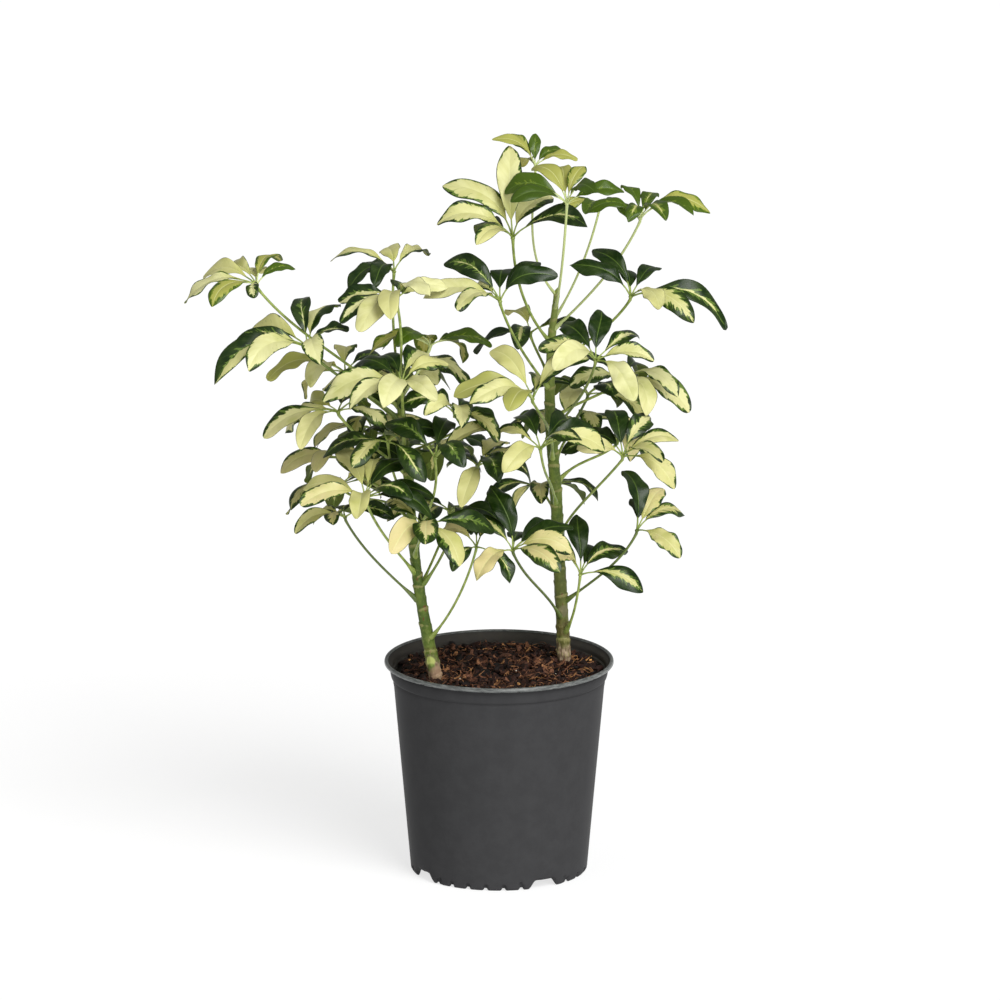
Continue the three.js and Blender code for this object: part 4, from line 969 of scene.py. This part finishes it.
def build_chips(radius, top, material):
    """Chips of all sizes, a few bright ones where they are in plain view, and pale grains in front."""
    draw = random.Random("chips")
    shell = Shell()
    for _ in range(CHIP_COUNT):
        length = CHIP_LENGTHS[0] + (CHIP_LENGTHS[1] - CHIP_LENGTHS[0]) * draw.random() ** 2
        shape, faces = chip_shape(draw)
        size = length * np.array((1, draw.uniform(0.35, 0.75), draw.uniform(0.12, 0.34)))
        place = (*scatter(draw, radius, 6 * MM), top + draw.uniform(-0.8, 2.6) * MM)
        points = shape * size @ turned_frame(draw, 0.42) + place
        shell.add(points, faces, lot=(0.72 * draw.random() ** 2.4, draw.random(), 0.0))
    for x, y in BRIGHT_CHIPS:
        shape, faces = chip_shape(draw)
        points = shape * (2.2 * MM, 1.7 * MM, 1.1 * MM) @ turned_frame(draw, 0.3)
        shell.add(points + (x * MM, y * MM, top + 2.8 * MM), faces, lot=(1.3, 0.0, 0.0))
    for _ in range(GRAIN_COUNT):
        shape, faces = chip_shape(draw)
        size = draw.uniform(0.6, 1.25) * MM * np.array((1, 0.8, 0.7))
        x, y = scatter(draw, radius, 4 * MM)
        points = shape * size + (x, -abs(y), top + draw.uniform(1.5, 3.2) * MM)
        shell.add(points, faces, lot=(1.0, draw.random(), 1.0))
    shell.build("soil_chips", [material])


def build_fibres(radius, top, material):
    """Curly coir fibres and thin curled shavings that lie on the bark."""
    draw = random.Random("fibres")
    shell = Shell()
    for _ in range(FIBRE_COUNT):
        add_fibre(shell, draw, radius, top)
    for _ in range(FLAKE_COUNT):
        add_flake(shell, draw, radius, top)
    shell.build("soil_fibres", [material])


def add_fibre(shell, draw, radius, top):
    """A fibre bent into an arc that also winds a little, thin at both ends."""
    x, y = scatter(draw, radius, 10 * MM)
    axes = turned_frame(draw, 0.5)
    bend = draw.uniform(1.8, 6.5) * MM
    turns = np.linspace(0, draw.uniform(1.4, 5.2), FIBRE_POINTS)
    curl = np.stack([bend * np.sin(turns), bend * (1 - np.cos(turns)),
                     0.6 * MM * np.sin(turns * draw.uniform(0.7, 2.0))], axis=-1)
    curl -= curl.mean(axis=0)
    centre = curl @ axes + (x, y, top + draw.uniform(1.6, 3.8) * MM)
    centre[:, 2] = np.clip(centre[:, 2], top - 2 * MM, top + 6.5 * MM)
    thick = (0.22 + 0.5 * draw.random() ** 1.5) * MM
    taper = thick * (0.45 + 0.55 * np.sin(np.linspace(0.25, 2.9, FIBRE_POINTS)))
    shell.add(*tube(centre, taper, FIBRE_SIDES), lot=(draw.uniform(0.3, 0.92), draw.random(), 0.0))


def add_flake(shell, draw, radius, top):
    """A thin shaving of bark, curled along its length."""
    rows, columns = 9, 5
    length, width = draw.uniform(7, 17) * MM, draw.uniform(2.2, 6.0) * MM
    sweep = draw.uniform(0.8, 2.6)
    x, y = scatter(draw, radius, 16 * MM)
    axes = turned_frame(draw, 0.35)
    turns = np.linspace(-sweep / 2, sweep / 2, rows)[:, None]
    bend = length / sweep
    across = np.linspace(-1, 1, columns) * width / 2
    taper = np.sqrt(np.sin(np.linspace(0.2, math.pi - 0.2, rows)))[:, None]
    hollow = 0.35 * (across / width) ** 2 * width
    sheet = np.stack(np.broadcast_arrays(bend * np.sin(turns), across * taper,
                                         bend * (1 - np.cos(turns)) + hollow), axis=-1)
    loops = np.concatenate([sheet, (sheet + (0, 0, FLAKE_THICKNESS))[:, ::-1]], axis=1)
    centres = loops.mean(axis=1)
    points = np.concatenate([loops.reshape(-1, 3), centres[:1], centres[-1:]])
    points = points @ axes + (x, y, top + 2.4 * MM)
    shell.add(points, tube_faces(rows, 2 * columns), lot=(draw.uniform(0.3, 0.88), draw.random(), 0.0))


def soil_material():
    g = Graph("potting_bark")
    lot = g.attribute("lot")
    grain = g.noise(700, 3, 0.6)
    shade = g.plus(lot["X"], g.times(g.minus(grain, 0.5), 0.5))
    tones = g.node("ValToRGB", {"Fac": shade})
    ramp = tones.color_ramp
    stops = ((0.0, colour(11, 8, 6)), (0.3, colour(28, 18, 14)), (0.55, colour(60, 38, 29)),
             (0.8, colour(134, 92, 68)), (1.0, colour(216, 160, 98)))
    while len(ramp.elements) < len(stops):
        ramp.elements.new(0.5)
    for element, (spot, tone) in zip(ramp.elements, stops):
        element.position = spot
        element.color = tone
    warm = g.mix(g.times(lot["Y"], 0.18), tones.outputs["Color"], colour(92, 48, 38))
    skin = g.mix(lot["Z"], warm, colour(224, 214, 196))
    g.bump(grain, 0.5, 0.4 * MM)
    return g.finish(Base_Color=skin, Roughness=0.72, Specular_IOR_Level=0.3)


# The pot

def pot_profile():
    """Points of the pot's section in millimetres: a radius, a height, and how much of the rise of
    the foot's notches and arches it takes. They run from the axis under the floor, out, up the
    outside, over the rolled rim and down the inside."""
    rim_radius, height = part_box("pot")[1].x / MM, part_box("pot")[1].z / MM
    rim_foot = height - RIM_HEIGHT
    band_foot = rim_foot - BAND_HEIGHT

    def wall(z):
        return BASE_RADIUS + (WALL_TOP_RADIUS - BASE_RADIUS) / rim_foot * z

    edge = wall(band_foot)
    outside = [(wall(z), z) for z in np.linspace(24, band_foot - 9, 12)]
    outside += [(edge + out, band_foot + up) for out, up in BAND_SECTION]
    rim = [(radius, rim_foot + up) for radius, up in RIM_UNDERSIDE]
    rim += [(rim_radius - inward, rim_foot + up) for inward, up in RIM_SIDE]
    rim += [(rim_radius - inward, height - down) for inward, down in RIM_TOP]
    inside = [(radius, height - down) for radius, down in INNER_SECTION]
    inside += [(edge - 1.6, band_foot + 2.0), (edge - 2.5, band_foot - 1.2)]
    inside += [(wall(z) - WALL_THICKNESS, z) for z in np.linspace(band_foot - 12, 15, 9)]
    inside += [(wall(12) - 2.6, 12.0), (wall(12) - 4.0, FLOOR_TOP)]
    inside += [(radius, FLOOR_TOP) for radius in (60, 28, 0.5)]
    foot = [*FOOT_SECTION, *((wall(z), z, (12 - z) / 10.4) for z in FOOT_HEIGHTS)]
    return np.array(foot + [(*point, 0) for point in outside + rim + inside])


def turn_from(bearing, angles):
    return np.abs((angles - bearing + math.pi) % (2 * math.pi) - math.pi)


def pitch_from_notch(angles):
    """How far each angle is from the nearest notch's middle, as a share of the notches' pitch."""
    return np.abs(((angles - NOTCH_BEARING) * NOTCH_COUNT / (2 * math.pi) + 0.5) % 1 - 0.5)


def foot_rise(angles):
    """How far the foot's edge stands off the ground: small notches, and four wide arches."""
    arch = np.zeros_like(angles)
    clear = np.ones_like(angles)
    for bearing in ARCH_BEARINGS:
        away = turn_from(bearing, angles) / ARCH_HALF
        arch = np.maximum(arch, ARCH_RISE * (1 - ease(*ARCH_FADE, away)))
        clear = np.minimum(clear, ease(*ARCH_CLEAR, away))
    notch = NOTCH_RISE * (1 - ease(*NOTCH_FADE, pitch_from_notch(angles))) * clear
    return np.maximum(arch, notch)


def foot_dents(angles, heights):
    """How far the wall is pressed in just above its edge: at each notch, and in a taller slot on
    both sides of each arch."""
    dent = (1 - ease(*DENT_FADE, pitch_from_notch(angles))) * (1 - ease(*DENT_HEIGHTS, heights))
    pressed = DENT_DEPTH * dent
    for bearing in ARCH_BEARINGS:
        for offset in (-SLOT_OFFSET, SLOT_OFFSET):
            away = turn_from(bearing + offset, angles) * BASE_RADIUS
            slot = (1 - ease(*SLOT_WIDTHS, away)) * (1 - ease(*SLOT_HEIGHTS, heights))
            pressed = np.maximum(pressed, SLOT_DEPTH * slot)
    return pressed


def build_pot():
    """The pot, whose wall wobbles toward its top, and whose rim is nicked along its underside."""
    profile = pot_profile()
    sections, heights, risen = profile[:, :1], profile[:, 1:2], profile[:, 2:]
    angles = even_angles(POT_SEGMENTS)
    give = np.clip((sections - FOOT_EDGE[0]) / (FOOT_EDGE[1] - FOOT_EDGE[0]), 0, 1)
    radii = sections - foot_dents(angles, heights) * give
    rolled = sections > ROLLED_FROM
    wobble = 0.22 * np.sin(2 * angles + 0.6) + 0.12 * np.sin(5 * angles + 2.0)
    radii = radii + np.where(rolled, np.minimum(wobble, 0) * 0.5, wobble) * ease(60, 200, heights)
    nicks = ease(0.55, 1.3, waves(ring_of(NICK_RING, angles)[:, :2], NICK_LENGTH, 5))
    flange = sections > RIM_UNDERSIDE_FROM
    under = flange & (heights < heights[flange].min() + 0.4)
    z = (heights + risen * foot_rise(angles) + under * nicks * NICK_RISE) * MM
    rings = ring_of(radii * MM, angles, z)
    points = np.concatenate([rings.reshape(-1, 3), [(0, 0, 0.1 * MM), (0, 0, FLOOR_TOP * MM)]])
    # The inside, paler with dust and painted light, starts three points past the rim's top
    inner = np.append(np.repeat(np.arange(len(profile)) > np.argmax(heights) + 3, POT_SEGMENTS), (0, 1))
    slots = np.append(rolled[:-1] & rolled[1:], (0, 0)).tolist()
    shell = Shell()
    shell.add(points, tube_faces(len(profile), POT_SEGMENTS), slots * POT_SEGMENTS, inner=inner[:, None])
    piece = shell.build("pot_moulded", [wall_material(), rim_material()])
    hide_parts("pot")


def wall_material():
    """Smooth charcoal plastic with a few scuffs, and a paler inside: partly dust, partly painted light that
    lifts the shade in the pot.
    """
    g = Graph("pot_plastic")
    inner = g.attribute("inner")["X"]
    scuff = g.noise(55, 6, 0.7)
    dust_and_painted_light = g.ramp(g.noise(70, 5, 0.7), 0.3, 0.7, 0.6, 1)
    skin = g.mix(g.ramp(scuff, 0.3, 0.7), colour(58, 58, 59), colour(62, 62, 63))
    skin = g.mix(g.times(g.ramp(scuff, 0.66, 0.8), 0.12), skin, colour(90, 90, 88))
    # The inside is painted paler: partly dust, partly painted light over the shade in the pot
    skin = g.mix(g.times(inner, dust_and_painted_light), skin, colour(72, 69, 65))
    g.bump(g.noise(900, 2), 0.06, 0.2 * MM)
    return g.finish(Base_Color=skin, Roughness=g.ramp(scuff, 0.3, 0.7, 0.4, 0.46), Specular_IOR_Level=0.02)


def rim_material():
    """The same plastic, paler and glossier in patches on the rolled rim: partly wear, partly painted
    highlight.
    """
    g = Graph("pot_rim_plastic")
    wear_and_highlight = g.ramp(g.noise(120, 5, 0.75, g.stretched((1, 1, 6))), 0.4, 0.62)
    # Paler patches: partly wear, partly painted highlight
    skin = g.mix(g.times(wear_and_highlight, 0.7), colour(72, 75, 74), colour(124, 126, 124))
    g.bump(g.plus(g.times(g.noise(900, 2), 0.4), wear_and_highlight), 0.14, 0.2 * MM)
    return g.finish(Base_Color=skin, Roughness=g.ramp(wear_and_highlight, 0, 1, 0.28, 0.34), Specular_IOR_Level=0.4)


# The stage: floor, light and camera

def build_stage():
    bpy.ops.mesh.primitive_plane_add(size=24, location=(0, 0, 0))
    floor = bpy.context.object
    floor.name = "floor"
    g = Graph("pale_floor")
    floor.data.materials.append(g.finish(Base_Color=FLOOR_TONE, Roughness=0.85, Specular_IOR_Level=0.2,
                                         Emission_Color=(1, 1, 1, 1), Emission_Strength=FLOOR_GLOW))
    world = bpy.data.worlds.new("studio")
    world.use_nodes = True
    background = world.node_tree.nodes["Background"]
    background.inputs["Color"].default_value = (1, 1, 1, 1)
    background.inputs["Strength"].default_value = SKY_STRENGTH
    bpy.context.scene.world = world
    for sun in SUNS:
        add_sun(*sun)
    bpy.context.scene.view_settings.view_transform = "Standard"


def add_sun(name, bearing, elevation, strength, width):
    data = bpy.data.lights.new(name, "SUN")
    data.energy = strength
    data.angle = math.radians(width)
    light = bpy.data.objects.new(name, data)
    bearing, elevation = math.radians(bearing), math.radians(elevation)
    level = math.cos(elevation)
    source = Vector((math.sin(bearing) * level, -math.cos(bearing) * level, math.sin(elevation)))
    light.rotation_euler = source.to_track_quat("Z", "Y").to_euler()
    bpy.context.scene.collection.objects.link(light)


def build_camera():
    data = bpy.data.cameras.new("camera")
    data.sensor_fit = "HORIZONTAL"
    data.sensor_width = SENSOR_WIDTH
    data.lens = SENSOR_WIDTH * VIEW_DISTANCE / VIEW_WIDTH
    data.clip_end = 60
    camera = bpy.data.objects.new("camera", data)
    away = Vector((0, -math.cos(VIEW_ELEVATION), math.sin(VIEW_ELEVATION)))
    camera.location = VIEW_TARGET + away * VIEW_DISTANCE
    camera.rotation_euler = (-away).to_track_quat("-Z", "Y").to_euler()
    bpy.context.scene.collection.objects.link(camera)
    bpy.context.scene.camera = camera


build_camera()
build_stage()
build_pot()
build_soil()
bark = stem_material()
build_stem("stem_left", 11, bark)
build_stem("stem_right", 12, bark)
build_leaves()
